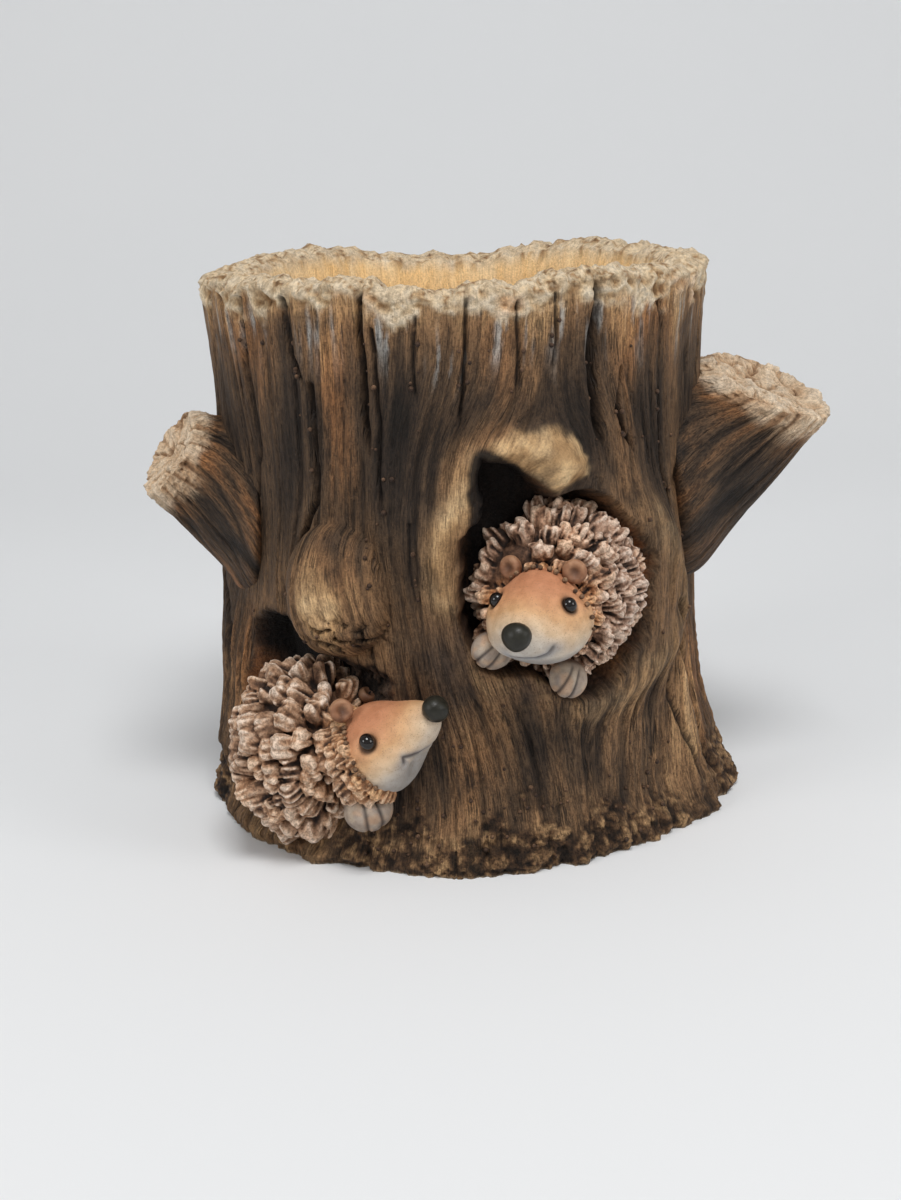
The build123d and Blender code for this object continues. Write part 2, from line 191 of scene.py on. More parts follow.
# Each crack: its line, half width and depth in mm
CRACKS = [
    ([(-18.8, 210), (-19.4, 195), (-19.1, 181), (-19.6, 166), (-19.2, 150)], 1.5, 5.0),
    ([(-16.9, 196), (-16.2, 176), (-16.5, 160), (-17.2, 144), (-17.5, 128)], 0.9, 2.6),
    (
        [
            (-32.1, 176), (-32.3, 159), (-32.8, 142), (-33.3, 134), (-36.6, 123), (-39.6, 114.6),
            (-43.8, 103), (-46.3, 95),
        ],
        1.3, 4.0,
    ),
    ([(2.7, 208), (1.7, 190), (1.4, 176), (0.2, 160)], 1.0, 3.2),
    ([(30.6, 210), (29.5, 191), (29.1, 182), (31.2, 163), (33, 150)], 2.2, 5.0),
    ([(37.7, 178), (36.5, 164), (39, 155), (42.8, 146)], 1.1, 3.0),
    ([(49, 200), (50, 164), (53, 138), (56, 120)], 1.2, 3.0),
    ([(-37.7, 206), (-36.8, 187), (-33.4, 175)], 1.2, 2.4),
    ([(-52, 205), (-53, 180), (-51, 150), (-55, 120), (-62, 98)], 1.4, 3.0),
    ([(-8, 200), (-8.6, 184), (-8.2, 170)], 0.8, 1.6),
    ([(13, 204), (13.4, 186), (12.4, 171)], 0.8, 1.6),
    ([(20.5, 206), (21, 190), (20.4, 178)], 0.8, 1.8),
    ([(-10.5, 128), (-11, 112), (-9.8, 96)], 0.8, 1.5),
    ([(60, 84), (63, 66), (66, 40), (69, 14), (70, 4)], 2.6, 5.5),
    ([(55, 62), (57, 36), (61, 12)], 1.3, 2.4),
    ([(-80, 150), (-82, 110), (-74, 84), (-73, 50)], 1.6, 3.4),
    ([(105, 205), (108, 150), (104, 90), (110, 20)], 1.5, 3.4),
    ([(140, 205), (137, 140), (142, 70)], 1.4, 3.2),
    ([(171, 208), (174, 160), (170, 100), (175, 30)], 1.6, 3.6),
    ([(-150, 205), (-147, 150), (-152, 80)], 1.4, 3.2),
    ([(-118, 206), (-121, 140), (-116, 60), (-120, 12)], 1.6, 3.6),
]
print("drawn:", len(HOLLOW), "points round the hollow and", len(CRACKS), "cracks")

# %% [markdown]
# The grain of the wood runs up the trunk and parts round the knots, as water does round a stone.
# We bend the unrolled coordinate round each knot, and both carving and paint follow that bent grain.
# A table of heights round the trunk gives the broken rim its humps and dips.

# %% Grain, profile and rim
# Each bend: angle, height, reach round the trunk, reach up it, and how hard the grain is pushed aside
GRAIN_BENDS = [
    (26, 100, 62, 52, 0.72),
    (18, 149, 30, 20, 0.60),
    (-30, 94, 27, 30, 0.70),
    (-46, 45, 46, 42, 0.55),
    (80, 132, 40, 46, 0.60),
    (-74, 124, 34, 40, 0.60),
    (150, 120, 22, 26, 0.65),
    (-135, 80, 20, 24, 0.65),
]
PROFILE = [
    (0, 106.5), (4, 106), (10, 102.5), (20, 98.5), (45, 94), (90, 91), (150, 93.3), (185, 95.6),
    (205, 97.5), (218, 98.6),
]
RIM = [
    (-180, 207.5), (-165, 208.5), (-150, 212.5), (-138, 213.6), (-120, 212), (-105, 209.5), (-90, 209),
    (-75, 210), (-60, 211.5),
    (-47, 212.5), (-34, 211.5), (-27, 212.8), (-20, 212.2), (-14, 210.6), (-8, 209), (-4, 206.4),
    (0, 208.4), (4, 210.8), (9, 211.6),
    (12.6, 209.6), (17, 210.4), (22, 212.8), (28, 213.2), (37, 213), (48, 211.5), (60, 210.5), (75, 212),
    (90, 212.5), (105, 211.5),
    (120, 212.5), (140, 213.5), (155, 211.5), (170, 208), (180, 207.5),
]


def bent_grain(angle, height):
    """The place of a point on a plain cylinder, in mm, after the grain has been bent round the knots."""
    flow = angle * ARC
    for turn, level, round_reach, up_reach, push in GRAIN_BENDS:
        aside = wrapped(angle - turn) * ARC
        flow = flow - push * aside * bell(aside, round_reach) * bell(height - level, up_reach)
    turn = flow / TRUNK_RADIUS
    return np.stack([TRUNK_RADIUS * np.sin(turn), -TRUNK_RADIUS * np.cos(turn), height], 1)


def streaks(grain, across, along, layers=2, seed=0):
    """Noise drawn out along the grain."""
    return layered(grain / np.array([across, across, along]), layers, seed)


def rim_height(angle):
    """Height of the broken rim at each angle, in mm."""
    table = np.array(RIM)
    turn = np.radians(angle)
    around = np.stack([np.sin(turn), np.cos(turn), np.zeros(len(angle))], 1) * TRUNK_RADIUS
    drawn = np.interp(angle, table[:, 0], table[:, 1])
    return drawn + 0.9 * noise(around / 5.5, 71) + 0.5 * noise(around / 2.4, 72)


print("rim from", rim_height(np.linspace(-180, 180, 400)).min().round(1), "mm")

# %% [markdown]
# Now the bark itself. One function answers, for any angle and height, how far the skin stands out
# and what kind of wood it is there: bare knot, broken lip, dark hollow, rough soil or plain bark.
# The same answers drive the paint later, so colour and carving can never drift apart.


# %% Carve the bark
WALL = 4.5
FLOOR_HEIGHT, FLOOR_RADIUS, DRAIN_RADIUS, LIP_RADIUS = 16, 68, 7, 81


def inner_radius(height):
    """Radius of the planting cavity at a height, in mm."""
    return FLOOR_RADIUS + 13 * np.clip((height - FLOOR_HEIGHT) / 198, 0, 1) ** 1.15


def bark(angle, height):
    """Relief in mm and the masks of each kind of wood, at angles in degrees and heights in mm."""
    grain = bent_grain(angle, height)
    spot = np.stack([angle * ARC, height, 0 * height], 1)
    rim = rim_height(angle)
    broad = streaks(grain, 17, 130, 2, 11)
    valley = smooth(0.16, 0.0, np.abs(streaks(grain, 10, 95, 2, 21)))
    fine = streaks(grain, 2.8, 38, 3, 31)
    hair = streaks(grain, 1.0, 16, 2, 41)
    wobble = layered(spot / 9.0, 3, 51)
    ragged = layered(spot / 3.0, 3, 55)
    hollow = inside_depth(angle, height, HOLLOW) - 1.4 * wobble - 0.9 * ragged
    cave = inside_depth(angle, height, CAVE) - 1.4 * wobble - 0.9 * ragged
    brow = inside_depth(angle, height, BROW) - 1.8 * wobble - 0.9 * ragged
    away_right, share_right = line_distance(angle, height, LIP_RIGHT)
    away_left, share_left = line_distance(angle, height, LIP_LEFT)
    burl_aside = wrapped(angle + 29.5) * ARC
    burl_round = np.hypot(burl_aside / 18.5, (height - 97) / (18 + 8 * (height > 97)))
    burl = np.sqrt(np.clip(1 - (burl_round / 1.12) ** 2, 0, 1))
    tip = (
        bell(np.hypot((wrapped(angle + 25.5) * ARC) / 10.5, (height - 86.5) / 6.5), 1)
        * smooth(-3, 1, -cave)
    )

    knot = np.clip(smooth(-4, 6, brow) + 0.55 * smooth(0.75, 0.25, burl_round) * (1 - tip), 0, 1)
    lip_band = smooth(rim - 17 + 14 * wobble, rim - 4 + 8 * wobble, height)
    lip_left = bell(away_left, 4.6) * smooth(0.0, 0.12, share_left) * smooth(0, -2, hollow)
    lip_right = bell(away_right, 6.5) * smooth(0.02, 0.2, share_right)
    calm = np.clip(1 - 0.85 * knot - 0.6 * np.maximum(lip_left, 0.7 * lip_right) - 0.6 * lip_band, 0.1, 1)

    low = smooth(92, 50, height)
    ridge = 0.5 - 1.6 * np.abs(streaks(grain, 4.2, 60, 3, 35))
    out = calm * (1.7 * broad - 1.2 * valley + 0.40 * fine + 0.16 * hair + (0.3 + 1.3 * low) * ridge)
    groove = 0.12 * valley * calm
    for points, half_width, depth in CRACKS:
        away, share = line_distance(angle + 0.35 * streaks(grain, 3, 9, 1, 61), height, points)
        ends = np.clip(np.minimum(share, 1 - share) * 6 + (share < 0.1), 0, 1)
        cut = bell(away, 0.72 * half_width * (0.5 + 0.5 * ends)) * ends
        out = out - depth * cut + 0.22 * depth * bell(away, 4.5 * half_width) * ends
        groove = np.maximum(groove, cut)

    swell = 6.0 * smooth(-34, -3, hollow) * smooth(60, 20, np.abs(height - 98))
    out = out + swell + 3.4 * lip_right + 2.6 * lip_left
    out = out + 7.0 * smooth(-2, 9, brow) + 0.9 * knot * wobble
    out = out + 14 * burl * smooth(-4, 1.5, -cave)
    pits = np.abs(layered(spot / 4.0, 4, 81))
    out = out + tip * (1.6 + 3.0 * pits - 5.5 * smooth(0.17, 0.02, pits))
    right_wall = smooth(24, 36, angle) * smooth(140, 126, height)
    hole = smooth(-0.6 - 1.8 * right_wall, 3.6 + 2.8 * right_wall, hollow)
    out = out - (24 + 2 * wobble) * hole + (3.0 + 3.5 * right_wall) * pits * bell(hollow - 1.5, 3)
    shallow = smooth(-38, -27, angle) * smooth(50, 60, height)
    out = out - (12 + 12 * smooth(58, 74, height)) * (1 - 0.55 * shallow) * smooth(-0.5, 8, cave)
    out = out + 5 * shallow * smooth(0, 4, cave) * pits

    root_left = bell(wrapped(angle + 78) * ARC, 12) * smooth(130, 60, height)
    root_right = bell(wrapped(angle - 84) * ARC, 19) * smooth(75, 5, height)
    root_edge = bell(wrapped(angle - 61) * ARC, 9) * smooth(85, 20, height)
    out = out + 5.5 * root_left + 4.2 * root_right + 3.6 * root_edge
    out = out - 6.5 * bell(wrapped(angle + 76) * ARC, 22) * smooth(28, 6, height)
    out = out + 4 * bell(wrapped(angle - 80) * ARC, 26) * bell(height - 120, 46)
    out = out + 3 * bell(wrapped(angle + 75) * ARC, 20) * bell(height - 112, 40)

    crumbs = 1 - 2.6 * np.abs(layered(spot / np.array([8.0, 5.5, 1]), 3, 91))
    chips = layered(spot / np.array([2.4, 2.0, 1]), 2, 95)
    out = out + lip_band * (-1.2 + 1.9 * crumbs + 0.9 * chips)
    soil = smooth(26 + 14 * wobble, 9 + 14 * wobble, height) * (0.3 + 0.7 * bell(wrapped(angle - 14), 40))
    feet = np.maximum(bell(wrapped(angle + 80), 14), bell(wrapped(angle - 80), 16))
    feet = feet * smooth(30 + 8 * wobble, 12 + 8 * wobble, height)
    soil = np.maximum(soil, 0.9 * feet)
    clods = layered(spot / np.array([5.2, 4.2, 1]), 4, 101)
    crumble = layered(spot / np.array([2.6, 2.0, 1]), 3, 111, 0.65)
    out = out + soil * (0.4 + 2.0 * np.abs(clods) - 2.0 * smooth(-0.05, -0.4, clods) + 1.5 * crumble)
    out = out + 3.0 * wobble * smooth(24, 4, height)
    table = np.array(PROFILE)
    mean = np.interp(height, table[:, 0], table[:, 1])
    out = np.maximum(out, inner_radius(height) + WALL - mean)
    return {
        "out": out, "mean": mean, "grain": grain, "broad": broad, "fine": fine, "hair": hair,
        "valley": valley, "knot": knot,
        "lip": lip_band, "left": lip_left, "right": lip_right, "soil": soil, "clods": clods, "tip": tip,
        "pits": pits,
        "groove": groove, "hollow": hollow, "cave": cave, "wobble": wobble, "rim": rim, "crumbs": crumbs,
        "chips": chips, "ridge": ridge, "low": low, "crumble": crumble, "shallow": shallow,
        "right_wall": right_wall, "spot": spot,
    }


probe = bark(np.linspace(-180, 180, 720), np.full(720, 170.0))
print("bark relief from", probe["out"].min().round(1), "to", probe["out"].max().round(1), "mm")

# %% [markdown]
# A pot with a hole in its floor is a ring in cross-section: up the outside, over the rim, down the inside,
# across the floor and back along the underside. So the stump starts as a flat grid with many rows and
# columns, which is rolled up both ways into that ring and closed with Merge by Distance. More columns face
# the front, where the carving is finest, and a Decimate modifier spends the triangles where it bends.

# %% Model the stump
OUTSIDE_ROWS, RIM_ROWS, INSIDE_ROWS, FLOOR_ROWS, UNDER_ROWS = 250, 18, 56, 8, 14
ROWS = OUTSIDE_ROWS + RIM_ROWS + INSIDE_ROWS + FLOOR_ROWS + UNDER_ROWS
COLUMNS = 640
STUMP_TRIANGLES = 194000


def get_points(piece):
    """Vertex places of a piece as an array."""
    points = np.empty(len(piece.data.vertices) * 3)
    piece.data.vertices.foreach_get("co", points)
    return points.reshape(-1, 3)


def set_points(piece, points):
    """Moves the vertices of a piece."""
    piece.data.vertices.foreach_set("co", np.asarray(points, float).ravel())
    piece.data.update()


def store(piece, name, values):
    """Keeps a number, vector or colour for each vertex, for the materials to read."""
    values = np.asarray(values, float)
    kind = "FLOAT" if values.ndim == 1 else {3: "FLOAT_VECTOR", 4: "FLOAT_COLOR"}[values.shape[1]]
    field = {"FLOAT": "value", "FLOAT_VECTOR": "vector", "FLOAT_COLOR": "color"}[kind]
    piece.data.attributes.new(name, kind, "POINT").data.foreach_set(field, values.ravel())


def apply_modifier(piece, kind, **settings):
    """Adds one modifier with its settings and applies it."""
    bpy.context.view_layer.objects.active = piece
    modifier = piece.modifiers.new(kind.lower(), kind)
    for key, value in settings.items():
        setattr(modifier, key, value)
    bpy.ops.object.modifier_apply(modifier=modifier.name)


def turn_faces_out(merge=0.0):
    """Turns the faces of the active piece outward, after merging vertices that lie together."""
    bpy.ops.object.mode_set(mode="EDIT")
    bpy.ops.mesh.select_all(action="SELECT")
    if merge:
        bpy.ops.mesh.remove_doubles(threshold=merge)
    bpy.ops.mesh.normals_make_consistent(inside=False)
    bpy.ops.object.mode_set(mode="OBJECT")


def column_angles(count):
    """Angles of the columns, closest together at the front."""
    fine = np.linspace(-180, 180, 20001)
    density = 0.42 + 1.0 * smooth(120, 75, np.abs(fine - 2))
    reached = np.concatenate([[0], np.cumsum((density[1:] + density[:-1]) / 2)])
    return np.interp(np.arange(count) / count * reached[-1], reached, fine)


def stump_points(column, row):
    """Places in mm of the grid's vertices on the stump, from their column and row."""
    angle = column_angles(COLUMNS)[column % COLUMNS]
    row = row % ROWS
    rim = rim_height(angle)
    radius = np.zeros(len(row))
    shares = np.clip(row / (OUTSIDE_ROWS - 1), 0, 1)
    crest = rim - 2.6
    height = np.where(row < OUTSIDE_ROWS, shares * crest, 0)
    skin = bark(angle, np.where(row < OUTSIDE_ROWS, height, crest))
    table = np.array(PROFILE)
    outer = np.interp(np.where(row < OUTSIDE_ROWS, height, crest), table[:, 0], table[:, 1]) + skin["out"]
    outer = outer - 1.5 * smooth(3, 0, height) * (row < OUTSIDE_ROWS)
    radius = np.where(row < OUTSIDE_ROWS, outer, radius)
    turn = np.radians(angle)
    around = np.stack([np.sin(turn), -np.cos(turn), np.zeros(len(angle))], 1) * TRUNK_RADIUS

    over = (row - OUTSIDE_ROWS + 1) / (RIM_ROWS + 1)
    on_rim = (row >= OUTSIDE_ROWS) & (row < OUTSIDE_ROWS + RIM_ROWS)
    inner_lip = LIP_RADIUS + 0.5 + 1.6 * layered(around / 7, 2, 121)
    spread = outer * (1 - over) + inner_lip * over
    rough = np.stack([around[:, 0], around[:, 1], over * 16], 1)
    crumbs = 1 - 2.6 * np.abs(layered(rough / 7.5, 3, 131)) + 0.6 * layered(rough / 2.6, 2, 133)
    middle = np.sin(np.pi * np.clip(over, 0, 1))
    rim_top = crest + 2.2 * middle**0.6 + 1.7 * crumbs * middle**0.5 - 2.0 * np.clip(over, 0, 1) ** 2
    height = np.where(on_rim, rim_top, height)
    radius = np.where(on_rim, spread, radius)

    down = (row - OUTSIDE_ROWS - RIM_ROWS + 1) / INSIDE_ROWS
    on_inside = (row >= OUTSIDE_ROWS + RIM_ROWS) & (row < OUTSIDE_ROWS + RIM_ROWS + INSIDE_ROWS)
    top = crest - 2.0
    inside_height = top + (FLOOR_HEIGHT - top) * np.clip(down, 0, 1)
    grooves = layered(np.stack([around[:, 0] / 2.6, around[:, 1] / 2.6, inside_height / 60], 1), 3, 141)
    inside_radius = inner_radius(inside_height) + (inner_lip - LIP_RADIUS) * smooth(0.2, 0, down)
    inside_radius = inside_radius + 0.6 * grooves * smooth(1, 0.9, down)
    height = np.where(on_inside, inside_height, height)
    radius = np.where(on_inside, inside_radius, radius)

    across = (row - OUTSIDE_ROWS - RIM_ROWS - INSIDE_ROWS + 1) / FLOOR_ROWS
    on_floor = (row >= OUTSIDE_ROWS + RIM_ROWS + INSIDE_ROWS) & (row < ROWS - UNDER_ROWS)
    height = np.where(on_floor, FLOOR_HEIGHT, height)
    floor_radius = FLOOR_RADIUS + (DRAIN_RADIUS - FLOOR_RADIUS) * np.clip(across, 0, 1)
    radius = np.where(on_floor, floor_radius, radius)

    under = (row - (ROWS - UNDER_ROWS)) / UNDER_ROWS
    on_under = row >= ROWS - UNDER_ROWS
    feet = np.zeros(COLUMNS)
    feet[column[row == 0] % COLUMNS] = outer[row == 0]
    foot = feet[column % COLUMNS]
    height = np.where(on_under, 0, height)
    radius = np.where(on_under, DRAIN_RADIUS + (foot - DRAIN_RADIUS) * np.clip(under, 0, 1), radius)
    return np.stack([radius * np.sin(turn), -radius * np.cos(turn), height], 1)


bpy.ops.mesh.primitive_grid_add(x_subdivisions=COLUMNS, y_subdivisions=ROWS, size=1)
stump = bpy.context.active_object
stump.name = "carved_stump"
stump.data.name = "carved_stump"
flat = get_points(stump)
columns = np.rint((flat[:, 0] + 0.5) * COLUMNS).astype(int)
rows = np.rint((flat[:, 1] + 0.5) * ROWS).astype(int)
set_points(stump, stump_points(columns, rows) * MM)
turn_faces_out(merge=0.000002)
apply_modifier(stump, "TRIANGULATE")
apply_modifier(stump, "DECIMATE", ratio=min(1, STUMP_TRIANGLES / len(stump.data.polygons)))
bpy.ops.object.shade_smooth()
print("stump:", len(stump.data.polygons), "triangles")

# %% [markdown]
# The casting was painted the way garden ornaments are: a dark wash first, which stays in the grooves,
# then lighter browns dragged over the high parts with a nearly dry brush. We paint each vertex that way,
# from dark to light by how high the carving stands, and then add the knots, the pale lip and the hollows.
# Colours are written as they look on a screen and turned into the linear values that a renderer works with.


# %% Paint the stump
def tone(red, green, blue):
    """A screen colour from 0 to 255 as linear values."""
    c = np.array([red, green, blue]) / 255.0
    return np.where(c <= 0.04045, c / 12.92, ((c + 0.055) / 1.055) ** 2.4)


def blend(first, second, share):
    """Mixes two colours or arrays of colours by a share for each point."""
    first, second = np.atleast_2d(first), np.atleast_2d(second)
    return first + (second - first) * np.clip(share, 0, 1)[:, None]


def ramp(stops, share):
    """Colours picked along a list of (share, colour) stops."""
    places = [stop[0] for stop in stops]
    colours = np.array([stop[1] for stop in stops])
    return np.stack([np.interp(share, places, colours[:, channel]) for channel in range(3)], 1)


def with_alpha(colours):
    """Colours with a full alpha beside them."""
    return np.concatenate([colours, np.ones((len(colours), 1))], 1)


BARK_STOPS = [
    (0.0, tone(30, 24, 19)), (0.22, tone(60, 48, 38)), (0.45, tone(94, 74, 55)), (0.68, tone(136, 105, 75)),
    (0.9, tone(174, 141, 102)),
    (1.1, tone(200, 170, 132)),
]
# Each patch: angle, height, reach round the trunk in mm, reach up it, and how much lighter the paint is
PATCHES = [
    (-37, 165, 11, 44, -0.26), (-14, 165, 14, 46, -0.24), (4, 185, 10, 26, -0.16), (10, 40, 34, 26, -0.22),
    (-8, 60, 12, 30, -0.06),
    (-25, 158, 8, 44, 0.16), (42, 190, 12, 30, 0.10), (60, 95, 13, 42, 0.16), (-50, 185, 9, 40, 0.12),
    (27, 190, 8, 24, -0.18),
    (66, 40, 16, 34, 0.06), (-76, 40, 16, 40, 0.04), (-5, 112, 8, 26, 0.10), (50, 165, 8, 36, -0.16),
    (-62, 150, 9, 40, -0.12),
    (30, 40, 20, 16, -0.06), (-30, 100, 15, 18, 0.48), (0, 158, 200, 30, -0.08), (78, 14, 20, 18, -0.2),
    (-78, 14, 20, 18, -0.3), (66, 80, 14, 40, 0.12), (12, 60, 30, 20, 0.1), (70, 120, 14, 40, -0.12),
    (80, 30, 12, 30, -0.1),
]
# Each warm place: angle, height, reaches, and strength of the orange brush
WARM = [
    (-26, 160, 8, 44, 0.65), (44, 188, 14, 36, 0.5), (-52, 188, 15, 36, 0.45), (-66, 60, 10, 26, 0.6),
    (9, 178, 8, 26, 0.3),
    (74, 50, 18, 44, 0.4), (120, 120, 40, 50, 0.3), (-130, 130, 40, 50, 0.3), (-84, 90, 12, 40, 0.3),
    (-2, 36, 20, 20, 0.2),
]
# Each painted shadow where a hedgehog touches the bark: angle, height, reaches, and strength
CONTACT_SHADE = [
    (-3, 80, 8, 14, 0.75), (14, 66, 13, 6, 0.7), (31, 60, 10, 6, 0.5), (-4, 62, 9, 15, 0.7),
    (-13, 42, 8, 13, 0.65), (-16, 24, 8, 8, 0.5),
]


def unrolled(points):
    """Angle in degrees, height and radius in mm of points in mm."""
    angle = np.degrees(np.arctan2(points[:, 0], -points[:, 1]))
    return angle, points[:, 2], np.hypot(points[:, 0], points[:, 1])


def stump_paint(points, normals):
    """Paint, grain, strength of the streaks and looseness of the crumbs at points of the stump in mm."""
    angle, height, radius = unrolled(points)
    skin = bark(angle, height)
    grain, spot = skin["grain"], skin["spot"]
    sprayed = layered(grain / np.array([13, 13, 46.0]), 2, 201)
    share = (
        0.44 + 0.26 * sprayed + 0.12 * skin["broad"] + 0.14 * skin["fine"] + 0.09 * skin["hair"]
        - 0.12 * skin["valley"]
    )
    share += (0.10 + 0.30 * skin["low"]) * skin["ridge"] + 0.06 * skin["low"]
    for turn, level, reach, up_reach, change in PATCHES:
        share += change * bell(wrapped(angle - turn) * ARC, reach) * bell(height - level, up_reach)
    below_rim = skin["rim"] - height
    share += (
        0.30 * smooth(50, 10, below_rim) + 0.16 * smooth(20, 6, below_rim) + 0.08 * smooth(30, 5, height)
    )
    near_hollow = bell(skin["hollow"] + 5, 7)
    share += 0.26 * near_hollow * (0.35 + 0.65 * smooth(26, 8, angle)) + 0.10 * bell(skin["cave"] + 4, 6)
    colour = ramp(BARK_STOPS, share)
    warm = np.zeros(len(angle))
    for turn, level, reach, up_reach, strength in WARM:
        warm += strength * bell(wrapped(angle - turn) * ARC, reach) * bell(height - level, up_reach)
    colour = blend(
        colour, colour * np.array([1.25, 0.90, 0.62]) + tone(62, 34, 14) * 0.5,
        warm * smooth(0.25, 0.7, share),
    )
    mottled = 0.55 + 0.50 * layered(spot / 7, 4, 205) + 0.10 * skin["fine"]
    pale = ramp(
        [
            (0.1, tone(126, 94, 62)), (0.4, tone(182, 148, 106)), (0.65, tone(214, 182, 138)),
            (0.9, tone(230, 206, 164)),
        ],
        mottled,
    )
    colour = blend(colour, pale, 0.92 * smooth(0.25, 0.8, skin["knot"]))
    edges = np.clip(0.75 * skin["left"] + 0.42 * skin["right"], 0, 1)
    colour = blend(colour, pale * 0.92, edges * smooth(0.2, 0.7, share))
    stain = smooth(0.25, 0.6, layered(spot / 11, 4, 207) + 0.1) * (1 - skin["lip"])
    colour = blend(colour, tone(46, 37, 31), 0.45 * stain * smooth(0, -6, skin["hollow"]))
    drips = (
        bell(below_rim - 16 - 8 * skin["wobble"], 10) * smooth(0.18, 0.5, streaks(grain, 2.2, 26, 2, 211))
    )
    colour = blend(colour, tone(176, 184, 186), 0.6 * drips)
    rim_share = 0.44 + 0.52 * skin["crumbs"] + 0.26 * skin["chips"] + 0.14 * layered(spot / 14, 2, 213)
    rim_stops = [
        (0.0, tone(92, 66, 42)), (0.25, tone(158, 124, 86)), (0.5, tone(206, 178, 140)),
        (0.75, tone(228, 208, 176)), (1, tone(238, 224, 200)),
    ]
    rim_pale = ramp(rim_stops, rim_share)
    rim_pale = blend(rim_pale, tone(216, 160, 114), 0.4 * smooth(0.05, 0.45, layered(spot / 17, 2, 215)))
    colour = blend(colour, rim_pale, smooth(0.2, 0.8, skin["lip"]))
    earth_share = 0.42 + 0.95 * skin["crumble"] + 0.45 * skin["clods"] + 0.15 * sprayed
    earth = ramp(
        [
            (0.1, tone(30, 22, 17)), (0.36, tone(66, 48, 35)), (0.6, tone(118, 90, 64)),
            (0.92, tone(184, 150, 110)),
        ],
        earth_share,
    )
    colour = blend(colour, earth, 0.9 * smooth(0.2, 0.7, skin["soil"]))
    colour = blend(
        colour, tone(36, 27, 22),
        0.95 * np.clip(1.5 * skin["tip"], 0, 1) * smooth(0.20, 0.05, skin["pits"]),
    )
    colour = blend(colour, tone(24, 17, 13), 0.92 * np.clip(skin["groove"] * 1.15, 0, 1))
    inner_wall = ramp([(0.2, tone(44, 30, 22)), (0.6, tone(86, 60, 40)), (0.9, tone(116, 84, 54))], mottled)
    # Painted light: the right wall of the hollow is painted lighter, as if lit.
    inner_wall = blend(inner_wall, inner_wall * np.array([1.75, 1.65, 1.5]), skin["right_wall"])
    orange = bell(wrapped(angle - 44) * ARC, 9) * bell(height - 108, 24)
    inner_wall = blend(inner_wall, tone(156, 92, 48), 0.8 * orange)
    inner_wall = blend(inner_wall, inner_wall * 0.3, smooth(0.22, 0.04, skin["pits"]))
    colour = blend(colour, inner_wall, 0.9 * smooth(-0.8, 1.2, skin["hollow"]))
    dark_from = 1.4 + 2.2 * skin["right_wall"]
    upper_corner = 7 * bell(wrapped(angle - 6), 9) * smooth(120, 132, height)
    in_shade = smooth(dark_from, dark_from + 2.8, skin["hollow"] + upper_corner)
    colour = blend(colour, tone(16, 11, 9), 0.95 * in_shade)
    cave_wall = blend(
        inner_wall, tone(140, 90, 52), bell(wrapped(angle + 66) * ARC, 6) * bell(height - 60, 24),
    )
    colour = blend(colour, cave_wall, 0.9 * smooth(-0.5, 2.0, skin["cave"]))
    # Painted shade: the deep part of the cave is painted nearly black.
    colour = blend(
        colour, tone(12, 9, 7), 0.96 * smooth(3.0, 8.0, skin["cave"] + 5 * smooth(62, 72, height)),
    )

    crumbled = ramp(
        [(0.0, tone(22, 17, 14)), (0.18, tone(46, 36, 30)), (0.45, tone(88, 72, 60))], skin["pits"],
    )
    colour = blend(colour, crumbled, 0.9 * skin["shallow"] * smooth(0.5, 3, skin["cave"]))
    # Painted shade: the bark is darkened blue-grey round the faces and paws, where they touch it.
    for turn, level, reach, up_reach, strength in CONTACT_SHADE:
        contact_shade = strength * bell(wrapped(angle - turn) * ARC, reach) * bell(height - level, up_reach)
        colour = blend(colour, tone(40, 39, 42), contact_shade * (0.75 + 0.4 * skin["fine"]))
    lining = np.where((radius < inner_radius(height) + 2.6) & (height > 14), 1.0, 0.0)
    stripes = layered(np.stack([points[:, 0] / 1.5, points[:, 1] / 1.5, height / 36], 1), 3, 231)
    cream_share = below_rim / 70 + 0.22 * stripes + 0.15 * layered(points / 16, 2, 233)
    cream = ramp(
        [
            (0, tone(255, 228, 180)), (0.3, tone(255, 216, 152)), (0.7, tone(250, 200, 128)),
            (1, tone(226, 172, 106)),
        ],
        cream_share,
    )
    crest = np.clip(
        smooth(5.5, 2.8, below_rim) * (radius > 79) + smooth(0.2, 0.8, skin["lip"]) * (lining < 0.5), 0, 1,
    )
    top_share = (
        0.78 - 0.55 * smooth(0.12, 0.0, np.abs(layered(points / 6.0, 4, 235)))
        + 0.26 * layered(points / 2.6, 2, 237)
    )
    colour = blend(colour, cream, lining)
    colour = blend(colour, ramp(rim_stops, top_share), smooth(5.5, 2.8, below_rim) * (radius > 79))
    colour = blend(colour, tone(176, 158, 134), smooth(0.6, 0.2, height) * (normals[:, 2] < -0.5))
    strength = (
        np.clip(
            1 - 0.8 * crest - 0.75 * lining - 0.6 * skin["knot"] - 0.5 * edges - 0.7 * skin["soil"], 0.1, 1,
        )
        * (0.7 + 0.3 * skin["low"])
    )
    in_holes = np.maximum(smooth(-1.0, 1.5, skin["hollow"]), smooth(-1.0, 3.0, skin["cave"])) * (1 - lining)
    strength = np.clip(strength * (1 - 0.85 * in_holes), 0.1, 1)
    loose = np.clip(skin["soil"] + 0.42 * crest + 0.7 * skin["tip"] + 0.8 * in_holes, 0, 1)
    return colour, grain, strength, loose


def normals_of(piece):
    """Vertex normals of a piece as an array."""
    values = np.empty(len(piece.data.vertices) * 3)
    piece.data.vertices.foreach_get("normal", values)
    return values.reshape(-1, 3)


colour, grain, strength, loose = stump_paint(get_points(stump) / MM, normals_of(stump))
store(stump, "paint", with_alpha(colour))
store(stump, "grain", grain * MM)
store(stump, "streak", strength)
store(stump, "loose", loose)
print("stump paint averages", colour.mean(0).round(3))

# %% [markdown]
# Materials are small boards of nodes. To keep them readable, one little class wraps a socket so that
# sums can be written as sums, and one method adds any other node from its type, settings and inputs.


